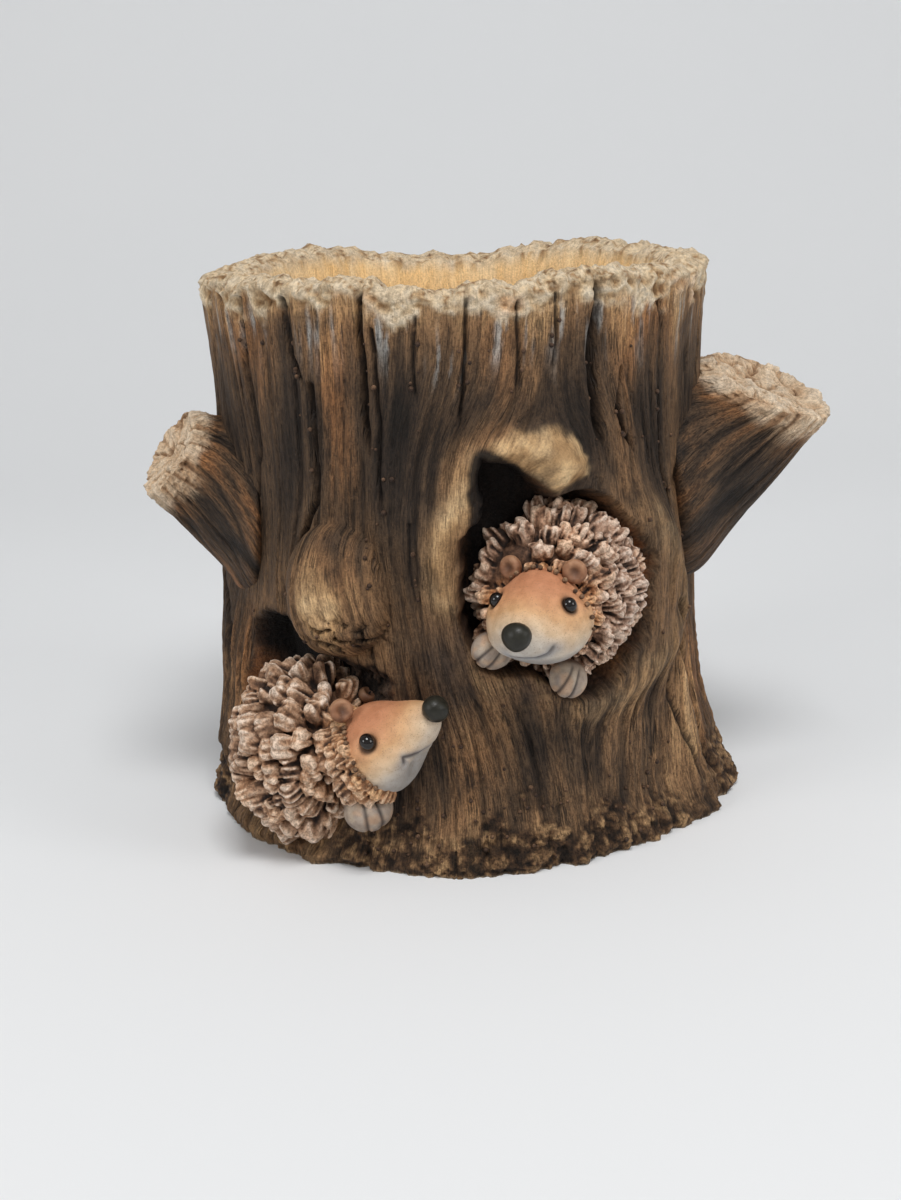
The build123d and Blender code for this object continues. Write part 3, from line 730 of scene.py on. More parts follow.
# %% A readable way to wire materials
class Wire:
    """A value on its way through a material."""

    def __init__(self, board, socket):
        self.board, self.socket = board, socket

    def joined(self, operation, first, second):
        return self.board.node("ShaderNodeMath", {"operation": operation}, {0: first, 1: second})

    def __add__(self, other):
        return self.joined("ADD", self, other)

    def __sub__(self, other):
        return self.joined("SUBTRACT", self, other)

    def __mul__(self, other):
        return self.joined("MULTIPLY", self, other)


class Board:
    """One material and the nodes on it."""

    def __init__(self, name, **constants):
        self.material = bpy.data.materials.new(name)
        self.material.use_nodes = True
        self.tree = self.material.node_tree
        self.tree.nodes.clear()
        self.output = self.tree.nodes.new("ShaderNodeOutputMaterial")
        self.shader = self.tree.nodes.new("ShaderNodeBsdfPrincipled")
        self.tree.links.new(self.shader.outputs[0], self.output.inputs[0])
        for key, value in constants.items():
            self.shader.inputs[key.replace("_", " ").title().replace("Ior", "IOR")].default_value = value

    def feed(self, socket, value):
        if isinstance(value, Wire):
            self.tree.links.new(value.socket, socket)
        else:
            socket.default_value = value

    def node(self, kind, settings=None, inputs=None, output=0):
        made = self.tree.nodes.new(kind)
        for key, value in (settings or {}).items():
            setattr(made, key, value)
        for key, value in (inputs or {}).items():
            self.feed(made.inputs[key], value)
        return Wire(self, made.outputs[output])

    def attribute(self, name, output="Color"):
        return self.node("ShaderNodeAttribute", {"attribute_name": name}, output=output)

    def scaled(self, vector, factors):
        return self.node("ShaderNodeVectorMath", {"operation": "MULTIPLY"}, {0: vector, 1: factors})

    def noise(self, vector, detail=3.0, roughness=0.55, size=1.0):
        return self.node(
            "ShaderNodeTexNoise", None,
            {"Vector": vector, "Scale": size, "Detail": detail, "Roughness": roughness},
        )

    def step(self, value, low, high, to_low=0.0, to_high=1.0):
        return self.node(
            "ShaderNodeMapRange", {"interpolation_type": "SMOOTHSTEP"},
            {0: value, 1: low, 2: high, 3: to_low, 4: to_high}
        )

    def mix(self, share, first, second, blend_type="MIX"):
        return self.node(
            "ShaderNodeMix", {"data_type": "RGBA", "blend_type": blend_type},
            {0: share, 6: first, 7: second}, output=2
        )

    def bump(self, height, distance, strength):
        return self.node(
            "ShaderNodeBump", None, {"Height": height, "Distance": distance, "Strength": strength},
        )

    def set(self, **inputs):
        for key, value in inputs.items():
            self.feed(self.shader.inputs[key.replace("_", " ").title()], value)
        return self.material


def dress(piece, material):
    """Gives a piece one material."""
    piece.data.materials.clear()
    piece.data.materials.append(material)


print("ready to wire materials")

# %% [markdown]
# The bark material reads the paint and lays the finest brush work over it: thin streaks that follow the
# grain, dark splits, loose crumbs in the rough places and a little grit in the surface. Cast stone under
# acrylic paint is dry, so it is rough.

# %% Bark paint with fine streaks
board = Board("stump_bark_paint", specular_ior_level=0.25)
paint = board.attribute("paint")
along = board.attribute("grain", "Vector")
strength = board.attribute("streak", "Fac")
place = board.node("ShaderNodeTexCoord", output="Object")
streak = board.noise(board.scaled(along, (800.0, 800.0, 70.0)), 4.0, 0.6)
scratch = board.noise(board.scaled(along, (2400.0, 2400.0, 300.0)), 3.0, 0.6)
grit = board.noise(place, 4.0, 0.65, 1300.0)
mottle = board.noise(place, 4.0, 0.6, 190.0)
brush = (streak - 0.5) * strength * 0.55 + (scratch - 0.5) * strength * 0.9
brushed = board.step(brush + (grit - 0.5) * (strength * 0.42 + 0.12) + 0.5, 0.36, 0.64)
deep = board.mix(1.0, paint, (0.50, 0.47, 0.45, 1), "MULTIPLY")
light = board.mix(1.0, paint, (1.42, 1.39, 1.34, 1), "MULTIPLY")
dressed = board.mix(brushed, deep, light)
dressed = board.mix(
    board.step(mottle, 0.35, 0.7), board.mix(1.0, dressed, (0.86, 0.85, 0.85, 1), "MULTIPLY"), dressed,
)
crumbs = board.noise(place, 4.0, 0.65, 620.0)
loose = board.attribute("loose", "Fac")
pitted = board.mix(1.0, dressed, (0.30, 0.28, 0.27, 1), "MULTIPLY")
caught = board.mix(1.0, dressed, (1.40, 1.36, 1.30, 1), "MULTIPLY")
dressed = board.mix(board.step(crumbs, 0.52, 0.42) * loose * 0.85, dressed, pitted)
dressed = board.mix(board.step(crumbs, 0.55, 0.64) * loose * 0.8, dressed, caught)
split_noise = board.noise(board.scaled(along, (240.0, 240.0, 13.0)), 3.0, 0.55)
split_gap = board.node("ShaderNodeMath", {"operation": "ABSOLUTE"}, {0: split_noise - 0.5})
split = board.step(split_gap, 0.0, 0.022, 1.0, 0.0) * board.step(mottle, 0.42, 0.58) * strength
dressed = board.mix(split * 0.75, dressed, (0.022, 0.016, 0.012, 1))
relief = (
    split * -1.2 + streak * strength * 0.5 + scratch * strength * 0.7 + grit * 0.5 + crumbs * loose * 2.6
)
grain_bump = board.bump(relief, 0.0010, 0.9)
dress(
    stump,
    board.set(base_color=dressed, roughness=board.step(grit, 0.3, 0.7, 0.58, 0.8), normal=grain_bump),
)
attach(stump, "root")
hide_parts("stump_shell")
print("bark material has", len(board.tree.nodes), "nodes")

# %% [markdown]
# Two broken branches grow out of the sides. Each one fans out of the trunk like an elbow and ends in a torn
# face. A sphere has the right ends for this: its lower pole closes the root inside the trunk, its middle
# becomes the bark, and its upper pole closes the torn face. We shape it in sections from a few sizes.

# %% Model the branch stubs
# Each stub: angle, root height, half height of the root, reach, rise, lift of the torn end in degrees,
# and the half depth and half height of that end
RIGHT_STUB = (83, 122, 37, 30, 39, 66, 20, 25)
LEFT_STUB = (-76, 116, 31, 22, 28, 34, 13, 17)
STUB_ROOT_HALF_DEPTH, STUB_INSET, STUB_WAIST, STUB_WAIST_SIZE = 25, 8, 0.55, 0.62
ROOT_SHARE, SIDE_SHARE = 0.04, 0.64
FRONT_FLARE, ROOT_FLARE = 11, 5


def make_sphere(name, segments, rings):
    """A sphere of radius 1 at the origin, to be shaped by hand."""
    bpy.ops.object.select_all(action="DESELECT")
    bpy.ops.mesh.primitive_uv_sphere_add(segments=segments, ring_count=rings, radius=1)
    piece = bpy.context.active_object
    piece.name = name
    piece.data.name = name
    bpy.ops.object.shade_smooth()
    return piece


def through_three(first, middle, last, share):
    """A smooth value that passes three given ones at the start, the waist and the end."""
    w = STUB_WAIST
    a = (share - w) * (share - 1) / w
    b = share * (share - 1) / (w * (w - 1))
    c = share * (share - w) / (1 - w)
    return first * a + middle * b + last * c


def stub_shape(sizes, unit, seed):
    """Places in mm of a stub's points from a unit sphere, with the kinds of wood for the paint."""
    angle, root_height, root_half, reach, rise, lift, tip_depth, tip_half = sizes
    table = np.array(PROFILE)
    surface = np.interp(root_height, table[:, 0], table[:, 1])
    share = np.arccos(np.clip(-unit[:, 2], -1, 1)) / math.pi
    turn = np.arctan2(unit[:, 1], unit[:, 0])
    out = np.clip((share - ROOT_SHARE) / (SIDE_SHARE - ROOT_SHARE), 0, 1)
    face = np.clip((share - SIDE_SHARE) / (1 - SIDE_SHARE), 0, 1)
    scale = np.where(share < ROOT_SHARE, share / ROOT_SHARE, 1 - face)
    w, size = STUB_WAIST, STUB_WAIST_SIZE
    radius = through_three(surface - STUB_INSET, surface + w * reach - STUB_INSET, surface + reach, out)
    height = through_three(root_height, root_height + w * rise, root_height + rise, out)
    tilt = np.radians(through_three(0, w * lift, lift, out))
    half_depth = through_three(
        STUB_ROOT_HALF_DEPTH, size * STUB_ROOT_HALF_DEPTH + (1 - size) * tip_depth, tip_depth, out,
    )
    half_height = through_three(root_half, size * root_half + (1 - size) * tip_half, tip_half, out)

    grain = np.stack([np.cos(turn + 0.3 * out) * 28, np.sin(turn + 0.3 * out) * 28, out * 80], 1)
    broad = streaks(grain, 11, 110, 2, seed)
    valley = smooth(0.2, 0.0, np.abs(streaks(grain, 8, 80, 2, seed + 3)))
    fine = streaks(grain, 2.4, 30, 3, seed + 6)
    hair = streaks(grain, 1.0, 16, 2, seed + 8)
    crumbs = 1 - 2.6 * np.abs(layered(grain / 5.0, 3, seed + 12))
    lip = smooth(0.80 + 0.12 * broad, 0.96, out)
    relief = (
        (1.1 * broad - 1.0 * valley + 0.45 * fine + 0.18 * hair) * smooth(0.0, 0.25, out)
        + lip * (0.2 + 1.4 * crumbs)
    )
    flat = np.stack([np.cos(turn) * scale * tip_half, np.sin(turn) * scale * tip_depth, 0 * out], 1)
    torn = layered(flat / 6.0, 4, seed + 15)
    slots = smooth(0.16, 0.0, np.abs(layered(flat / np.array([9.0, 5.0, 1.0]), 2, seed + 18)))
    edge = relief * smooth(0.0, 0.3, scale)
    round_way, out_way, up_way = upright_axes(angle)
    front = np.clip(-np.sign(round_way[1]) * np.sin(turn), 0, 1)
    flare = FRONT_FLARE * front * bell(out - 0.3, 0.28) + ROOT_FLARE * bell(out - 0.16, 0.16)
    along = (half_height + edge + ROOT_FLARE * bell(out - 0.16, 0.16)) * np.cos(turn) * scale
    across = (half_depth + edge + flare) * np.sin(turn) * scale
    push = (
        (2.6 * torn - 2.4 * slots - 1.6 * smooth(0.05, 0.5, face) + 0.9 * crumbs * bell(face, 0.12))
        * smooth(0, 0.05, face)
    )
    ahead = np.cos(tilt)[:, None] * out_way + np.sin(tilt)[:, None] * up_way
    above = -np.sin(tilt)[:, None] * out_way + np.cos(tilt)[:, None] * up_way
    lean = 0.22 * np.sign(round_way[1]) * across * smooth(0.45, 1.0, out)
    push = push + lean
    places = radius[:, None] * out_way + height[:, None] * up_way
    places = places + along[:, None] * above + across[:, None] * round_way + push[:, None] * ahead
    kinds = {
        "face": np.clip(smooth(0.0, 0.04, face) + 0.9 * lip, 0, 1), "torn": torn, "slots": slots,
        "grain": grain, "out": out,
    }
    kinds.update(valley=valley, broad=broad, fine=fine, hair=hair, crumbs=crumbs)
    return places, kinds


def upright_axes(angle):
    """Round, outward and up directions at an angle of the trunk."""
    a = math.radians(angle)
    round_way = np.array([math.cos(a), math.sin(a), 0])
    out_way = np.array([math.sin(a), -math.cos(a), 0])
    return round_way, out_way, np.array([0, 0, 1.0])


def stub_paint(kinds, warm):
    """Paint of a stub: brushed bark along the sides, torn pale wood on the end."""
    grain = kinds["grain"]
    share = (
        0.46 + 0.20 * layered(grain / np.array([9, 9, 40.0]), 2, 301) + 0.14 * kinds["broad"]
        + 0.15 * kinds["fine"] + 0.08 * kinds["hair"]
    )
    share = (
        share - 0.15 * smooth(0.2, 0.55, kinds["out"]) - 0.18 * kinds["valley"]
        + 0.22 * smooth(0.6, 0.95, kinds["out"])
    )
    colour = ramp(BARK_STOPS, share)
    colour = blend(
        colour, colour * np.array([1.25, 0.90, 0.62]) + tone(62, 34, 14) * 0.5,
        warm * smooth(0.25, 0.7, share),
    )
    chips = 0.74 + 0.42 * kinds["torn"] - 0.5 * kinds["slots"] + 0.16 * kinds["crumbs"]
    stops = [
        (0.0, tone(84, 60, 42)), (0.3, tone(166, 132, 100)), (0.55, tone(212, 180, 146)),
        (0.8, tone(232, 208, 178)), (1, tone(240, 222, 198)),
    ]
    colour = blend(colour, ramp(stops, chips), kinds["face"])
    return blend(colour, tone(28, 20, 16), 0.25 * kinds["valley"] * (1 - kinds["face"]))


for stub_name, node, sizes, seed in (
    ("carved_right_stub", "right_branch_stub", RIGHT_STUB, 401),
    ("carved_left_stub", "left_branch_stub", LEFT_STUB, 431),
):
    stub = make_sphere(stub_name, 240, 200)
    unit = get_points(stub)
    places, kinds = stub_shape(sizes, unit, seed)
    set_points(stub, places * MM)
    turn_faces_out()
    store(stub, "paint", with_alpha(stub_paint(kinds, 0.6)))
    store(stub, "grain", kinds["grain"] * MM)
    store(stub, "streak", np.clip(1 - 0.85 * kinds["face"], 0.1, 1))
    store(stub, "loose", 0.42 * kinds["face"])
    dress(stub, stump.data.materials[0])
    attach(stub, "root")
    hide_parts(node)
    print(stub_name, "reaches", places[:, 0].round(1).min(), "to", places[:, 0].round(1).max(), "mm")

# %% [markdown]
# Each hedgehog wears a coat of quills, cast as overlapping tufts rather than as single spines.
# One tuft is a thick flattened sphere with a blunt tip of two to four lobes, made in several variants.
# Copies are laid in rings that open away from the face, each ring tucked under the one before it.

# %% Model one tuft of quills
TUFT_VARIANTS = 8
COAT_TRIANGLES = 190000


def tuft_shape(unit, lobes, ragged, seed):
    """A tuft one unit long (root at 0, tip at 1), one unit wide and one unit thick, from a unit sphere."""
    chance = np.random.default_rng(900 + seed)
    x = (unit[:, 0] + 1) / 2
    ring = np.sqrt(np.clip(1 - unit[:, 0] ** 2, 1e-4, 1))
    across, rise = unit[:, 1] / ring, unit[:, 2] / ring
    square = (np.abs(across) ** 4 + np.abs(rise) ** 4 + 1e-6) ** -0.25
    across, rise = across * square * 0.4 + across * 0.6, rise * square * 0.5 + rise * 0.5
    blunt = np.clip(1 - np.abs(2 * x - 1) ** 6, 0, 1) ** 0.4
    middles = (np.arange(lobes) + 0.5) / lobes * 2 - 1
    lengths = 1 - ragged * chance.uniform(0, 1, lobes)
    edges = (np.arange(1, lobes) / lobes * 2 - 1) * 0.9 + chance.uniform(-0.14, 0.14, lobes - 1)
    wander = across + 0.10 * np.sin(5 * x + seed)
    groove = np.clip(sum(bell(wander - edge, 0.15) for edge in edges), 0, 1)
    tip = smooth(0.45, 1.0, x)
    reach = x * (1 + (np.interp(across, middles, lengths) - 1 - 0.14 * groove) * tip)
    wide = (0.5 + 0.5 * smooth(0.0, 0.65, x)) * blunt
    thick = (0.5 + 0.5 * smooth(0.0, 0.6, x)) * blunt
    height = rise * thick * np.where(rise > 0, 1 - 0.40 * groove * smooth(0.1, 0.4, x), 0.8)
    bend = 0.16 * chance.uniform(-1, 1)
    wobble = 0.07 * noise(np.stack([x * 3 + seed, across * 2, rise * 2], 1), seed)
    beside = across * wide * 0.5 + bend * x**2 + wobble
    above = height * 0.5 + 0.14 * x**2 + wobble
    return np.stack([reach + wobble * 0.5, beside, above], 1)


sample = make_sphere("quill_tuft", 40, 22)
tuft_unit = get_points(sample)[:, [2, 0, 1]]
tuft_faces = [tuple(face.vertices) for face in sample.data.polygons]
bpy.data.objects.remove(sample)
print("one tuft has", len(tuft_faces), "faces")

# %% [markdown]
# The coats are solid castings, so the tufts may not stay loose. After they are laid out, a Remesh modifier
# fuses them with the body under them into one closed skin, and the creases between them stay.
# Paint follows the carving again: wash in the creases, a dry brush of pale pink on every ridge, and painted
# shade deeper in the coat.


# %% Lay the tufts and fuse each coat
def local_axes(turn, lift):
    """Side, forward and up directions of a head turned from the front and lifted, in degrees."""
    a, b = math.radians(turn), math.radians(lift)
    side = np.array([math.cos(a), math.sin(a), 0])
    level = np.array([math.sin(a), -math.cos(a), 0])
    ahead = level * math.cos(b) + np.array([0, 0, math.sin(b)])
    return side, ahead, np.cross(ahead, side)


def lay_tufts(body, face_axis, rings, seed, sizes, sway, keep):
    """Lists each tuft: root, directions along, across and up, size, variant and a tint of its own."""
    chance = np.random.default_rng(seed)
    centre, axes, radii = body
    face_axis = face_axis / np.linalg.norm(face_axis)
    helper = np.cross(face_axis, [0, 0, 1.0])
    helper /= np.linalg.norm(helper)
    other = np.cross(face_axis, helper)
    laid = []
    for away, lift, grown in rings:
        psi = math.radians(away)
        count = max(4, int(round(2 * math.pi * 27 * math.sin(psi) / (sizes[1] * grown * 0.76))))
        start = chance.uniform(0, 1)
        for index in range(count):
            phi = 2 * math.pi * (index + start + chance.uniform(-0.2, 0.2)) / count
            bent = psi + chance.uniform(-0.07, 0.07)
            ray = (
                math.cos(bent) * face_axis
                + math.sin(bent) * (math.cos(phi) * helper + math.sin(phi) * other)
            )
            local = np.array([ray @ axis for axis in axes])
            reach = 1 / np.sqrt(np.sum((local / radii) ** 2))
            root = centre + ray * reach
            if not keep(root):
                continue
            slope = sum(axis * (local[i] * reach / radii[i] ** 2) for i, axis in enumerate(axes))
            slope /= np.linalg.norm(slope)
            back = -face_axis + slope * (face_axis @ slope)
            way = back / (np.linalg.norm(back) + 1e-6)
            tilt = math.radians(lift + chance.uniform(-9, 9))
            swing = chance.uniform(-sway, sway)
            way = way * math.cos(swing) + np.cross(slope, way) * math.sin(swing)
            length_way = way * math.cos(tilt) + slope * math.sin(tilt)
            side = np.cross(slope, way)
            twist = chance.uniform(-0.25, 0.25)
            over = np.cross(length_way, side)
            turned = side * math.cos(twist) + over * math.sin(twist)
            over = over * math.cos(twist) - side * math.sin(twist)
            side = turned
            size = np.array(sizes) * grown * chance.uniform(0.84, 1.18, 3)
            variant = int(chance.integers(TUFT_VARIANTS))
            laid.append((root - slope * 2.0, length_way, side, over, size, variant, chance.uniform(-1, 1)))
    return laid


def tuft_coat(name, body, laid, ridges, ragged, voxel):
    """One fused coat from a body and its tufts."""
    piece = make_sphere(name, 96, 64)
    centre, axes, radii = body
    unit = get_points(piece)
    points = [centre + sum(unit[:, [i]] * radii[i] * axes[i] for i in range(3))]
    faces = [tuple(face.vertices) for face in piece.data.polygons]
    offset = len(unit)
    variants = [tuft_shape(tuft_unit, ridges[v % len(ridges)], ragged, v) for v in range(TUFT_VARIANTS)]
    for root, way, side, over, size, variant, _ in laid:
        shape = variants[variant] * size
        points.append(root + shape[:, [0]] * way + shape[:, [1]] * side + shape[:, [2]] * over)
        faces += [tuple(v + offset for v in face) for face in tuft_faces]
        offset += len(tuft_unit)
    mesh = bpy.data.meshes.new(name)
    mesh.from_pydata((np.concatenate(points) * MM).tolist(), [], faces)
    old = piece.data
    piece.data = mesh
    bpy.data.meshes.remove(old)
    turn_faces_out()
    apply_modifier(piece, "REMESH", mode="VOXEL", voxel_size=voxel * MM)
    apply_modifier(piece, "SMOOTH", factor=0.5, iterations=4)
    return piece


def keep_largest(piece):
    """Drops loose crumbs and inner bubbles, leaving the skin with the most vertices."""
    edges = np.empty(len(piece.data.edges) * 2, int)
    piece.data.edges.foreach_get("vertices", edges)
    edges = edges.reshape(-1, 2)
    label = np.arange(len(piece.data.vertices))
    while True:
        low = np.minimum(label[edges[:, 0]], label[edges[:, 1]])
        new = label.copy()
        np.minimum.at(new, edges[:, 0], low)
        np.minimum.at(new, edges[:, 1], low)
        new = new[new]
        if np.array_equal(new, label):
            break
        label = new
    bpy.context.view_layer.objects.active = piece
    bpy.ops.object.mode_set(mode="EDIT")
    bpy.ops.mesh.select_mode(type="VERT")
    bpy.ops.mesh.select_all(action="DESELECT")
    bpy.ops.object.mode_set(mode="OBJECT")
    piece.data.vertices.foreach_set("select", label != np.bincount(label).argmax())
    bpy.ops.object.mode_set(mode="EDIT")
    bpy.ops.mesh.delete(type="VERT")
    bpy.ops.object.mode_set(mode="OBJECT")


def convexity(piece, rounds):
    """How far each vertex stands proud of its neighbours, from about -1 to 1, softened a few times."""
    points, normals = get_points(piece), normals_of(piece)
    edges = np.empty(len(piece.data.edges) * 2, int)
    piece.data.edges.foreach_get("vertices", edges)
    first, second = edges.reshape(-1, 2).T
    step = points[second] - points[first]
    length = np.linalg.norm(step, axis=1) + 1e-9
    value = np.zeros(len(points))
    count = np.zeros(len(points))
    np.add.at(value, first, -np.sum(normals[first] * step, 1) / length)
    np.add.at(value, second, np.sum(normals[second] * step, 1) / length)
    np.add.at(count, first, 1)
    np.add.at(count, second, 1)
    value /= np.maximum(count, 1)
    for _ in range(rounds):
        total = value.copy()
        np.add.at(total, first, value[second])
        np.add.at(total, second, value[first])
        value = total / (count + 1)
    return value


def nearest_tuft(points, laid):
    """For each point its tuft's tint, and its place along and across that tuft."""
    best = np.full(len(points), 9e9)
    found = np.zeros((len(points), 3))
    for root, way, side, over, size, _, tint in laid:
        step = points - root
        near = np.flatnonzero(np.sum(step * step, 1) < (1.5 * size[0]) ** 2)
        x, y, z = step[near] @ way / size[0], step[near] @ side / size[1], step[near] @ over / size[2]
        misfit = np.abs(2 * x - 1.05) ** 3 + np.abs(2 * y) ** 3 + np.abs(2 * (z - 0.14 * x**2)) ** 3
        better = misfit < best[near]
        chosen = near[better]
        best[chosen] = misfit[better]
        found[chosen] = np.stack([np.full(better.sum(), tint), x[better], y[better]], 1)
    return found


def comb_quills(piece, laid, depth):
    """Scratches uneven lines along each tuft and roughens the skin."""
    points, normals = get_points(piece) / MM, normals_of(piece)
    found = nearest_tuft(points, laid)
    tint, along, across = found.T
    drawn = np.stack([along * 0.9 + tint * 7, across * 4.2 + tint * 31, tint * 50], 1)
    lines = (0.40 - 1.4 * np.abs(layered(drawn, 2, 521, 0.35))) * smooth(0.1, 0.4, along)
    rough = layered(points / 1.8, 3, 523)
    lumps = layered(points / 4.2, 2, 525)
    moved = points + normals * (depth * lines + 0.13 * rough + 0.22 * lumps)[:, None]
    set_points(piece, moved * MM)
    return found, lines, rough


def coat_paint(piece, body, stops, found, lines, rough, ochre, grey):
    """Paint of a coat from its carving, with painted shade deeper inside the coat and a tint of its own for
    each tuft.
    """
    points = get_points(piece) / MM
    fine, wide = convexity(piece, 1), convexity(piece, 8)
    tint, along, _ = found.T
    centre, axes, radii = body
    level = np.sqrt(sum((((points - centre) @ axes[i]) / radii[i]) ** 2 for i in range(3)))
    # Painted shade: points lying deeper inside the coat's envelope (low level) are painted darker.
    share = (
        0.45 + 0.7 * fine + 1.9 * wide + 0.55 * lines + 0.20 * (np.clip(along, 0, 1.1) - 0.5)
        + 0.7 * (np.clip(level, 0.9, 1.34) - 1.16) + 0.11 * tint
    )
    share += 0.10 * rough
    colour = ramp(stops, share)
    warm = ochre(points) * smooth(0.15, 0.5, share) + 0.45 * np.clip(tint, 0, 1) * smooth(0.2, 0.6, share)
    colour = blend(colour, colour * np.array([0.92, 0.70, 0.46]) + tone(74, 38, 14) * 0.3, warm)
    return blend(colour, colour * np.array([0.92, 0.95, 1.0]), grey(points))


def polar(radius, angle, height):
    """A place in mm from a radius, an angle from the front and a height."""
    a = math.radians(angle)
    return np.array([radius * math.sin(a), -radius * math.cos(a), height])


UPPER_BODY = (polar(83, 24.8, 98.8), upright_axes(24.8), np.array([27.4, 20.5, 27.4]))
LOWER_BODY = (polar(95, -38.8, 39.5), upright_axes(-38.8), np.array([22.0, 24.0, 29.0]))
UPPER_HEAD, LOWER_HEAD = np.array([27.0, -101.0, 95.0]), np.array([-30.3, -95.9, 46.5])
UPPER_STOPS = [
    (0.06, tone(40, 27, 20)), (0.26, tone(92, 66, 50)), (0.45, tone(150, 115, 92)),
    (0.66, tone(194, 160, 136)), (0.9, tone(222, 198, 178))
]
LOWER_STOPS = [
    (0.06, tone(40, 27, 20)), (0.28, tone(98, 70, 52)), (0.48, tone(148, 114, 88)),
    (0.72, tone(188, 156, 130)), (0.98, tone(222, 202, 184))
]
# Each ring: degrees from the face, lift of the tufts, and their size
UPPER_RINGS = [(29, 60, 0.66), (39, 50, 0.85)] + [(50 + 11 * step, 42 - 4 * step, 1.0) for step in range(6)]
LOWER_RINGS = [(26, 40, 0.72), (38, 30, 0.88)] + [(50 + 13 * step, 21 - step, 1.0) for step in range(9)]
UPPER_COLLAR = [(94, 56, 0.52), (107, 50, 0.64)]
LOWER_COLLAR = [(93, 26, 0.6), (106, 28, 0.75), (120, 30, 0.9)]
UPPER_TURN, UPPER_LIFT, LOWER_TURN, LOWER_LIFT = -21, 2, 64, 38
UPPER_AXES, LOWER_AXES = local_axes(UPPER_TURN, UPPER_LIFT), local_axes(LOWER_TURN, LOWER_LIFT)
EAR_NODES = ("upper_left_ear", "upper_right_ear", "lower_near_ear")
EARS = [(np.array(low) + np.array(high)) / 2 / MM for low, high in map(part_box, EAR_NODES)]


def clear_of_ears(root):
    """True where a tuft would not grow over an ear."""
    return all(np.linalg.norm(root - ear) > 7.5 for ear in EARS)


upper_laid = lay_tufts(
    UPPER_BODY, UPPER_HEAD + np.array([0, -4, -2]) - UPPER_BODY[0], UPPER_RINGS, 611, (11.4, 8.8, 5.6),
    0.25,
    lambda root: np.linalg.norm(root - UPPER_HEAD) > 14.0 and clear_of_ears(root),
) + lay_tufts(
    (UPPER_HEAD, UPPER_AXES, np.array([15.6, 16.0, 16.2])), UPPER_AXES[1], UPPER_COLLAR, 617,
    (11.4, 8.8, 5.6), 0.2,
    lambda root: root[2] > UPPER_HEAD[2] + 3 and clear_of_ears(root),
)
upper_coat = tuft_coat("upper_quill_tufts", UPPER_BODY, upper_laid, (3, 4, 3, 3), 0.26, 0.46)
keep_largest(upper_coat)
lower_laid = lay_tufts(
    LOWER_BODY, LOWER_HEAD - LOWER_BODY[0], LOWER_RINGS, 641, (13.4, 11.4, 7.2), 0.35,
    lambda root: np.linalg.norm(root - LOWER_HEAD) > 13.5 and root[2] > 7 and clear_of_ears(root),
) + lay_tufts(
    (LOWER_HEAD, LOWER_AXES, np.array([16.0, 15.8, 15.8])), LOWER_AXES[1], LOWER_COLLAR, 647,
    (12.4, 11.6, 8.4), 0.2,
    lambda root: root[0] < LOWER_HEAD[0] + 4 or root[2] > LOWER_HEAD[2] + 6,
)
lower_coat = tuft_coat("lower_quill_tufts", LOWER_BODY, lower_laid, (2, 3, 3, 2), 0.18, 0.46)
keep_largest(lower_coat)

board = Board("quill_paint", specular_ior_level=0.3)
paint = board.attribute("paint")
place = board.node("ShaderNodeTexCoord", output="Object")
grit = board.noise(place, 4.0, 0.6, 1600.0)
hair = board.noise(place, 3.0, 0.6, 700.0)
worn = board.mix(
    board.step(hair * 0.6 + grit * 0.4, 0.38, 0.62),
    board.mix(1.0, paint, (0.56, 0.53, 0.50, 1), "MULTIPLY"),
    board.mix(1.0, paint, (1.34, 1.33, 1.32, 1), "MULTIPLY"),
)
quill_paint = board.set(
    base_color=worn, roughness=board.step(grit, 0.3, 0.7, 0.55, 0.78),
    normal=board.bump(grit * 0.5 + hair * 0.7, 0.0010, 0.8),
)

for piece, node, laid, body, stops, head, depth in (
    (upper_coat, "upper_quill_coat", upper_laid, UPPER_BODY, UPPER_STOPS, UPPER_HEAD, 0.95),
    (lower_coat, "lower_quill_coat", lower_laid, LOWER_BODY, LOWER_STOPS, LOWER_HEAD, 0.9),
):
    found, lines, rough = comb_quills(piece, laid, depth)
    colour = coat_paint(
        piece, body, stops, found, lines, rough,
        lambda p, head=head: 0.8 * smooth(26, 17, np.linalg.norm(p - head, axis=1)),
        lambda p, head=head: smooth(12, 34, p[:, 0] - head[0]),
    )
    store(piece, "paint", with_alpha(colour))
    triangles = len(piece.data.polygons) * 2
    if triangles > COAT_TRIANGLES:
        apply_modifier(piece, "DECIMATE", ratio=COAT_TRIANGLES / triangles)
    bpy.context.view_layer.objects.active = piece
    piece.select_set(True)
    bpy.ops.object.shade_smooth()
    piece.select_set(False)
    dress(piece, quill_paint)
    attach(piece, "root")
    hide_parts(node)
    print(piece.name, len(laid), "tufts,", len(piece.data.polygons), "faces")

# %% [markdown]
# A face is a smooth form with a few soft features, so each head starts as a sphere whose points are moved
# along their own directions: out for the muzzle and the cheeks, in for the eye sockets and the mouth line.
# Directions are given as two angles, turned to the side and lifted, measured from the snout.


# %% Model the two heads
def direction(turn, lift):
    """A unit direction in a head's own axes (side, above, ahead) from two angles in degrees."""
    a, b = math.radians(turn), math.radians(lift)
    return np.array([math.sin(a) * math.cos(b), math.sin(b), math.cos(a) * math.cos(b)])


def between(unit, aim):
    """Angle in degrees between directions and one aim."""
    return np.degrees(np.arccos(np.clip(unit @ aim, -1, 1)))


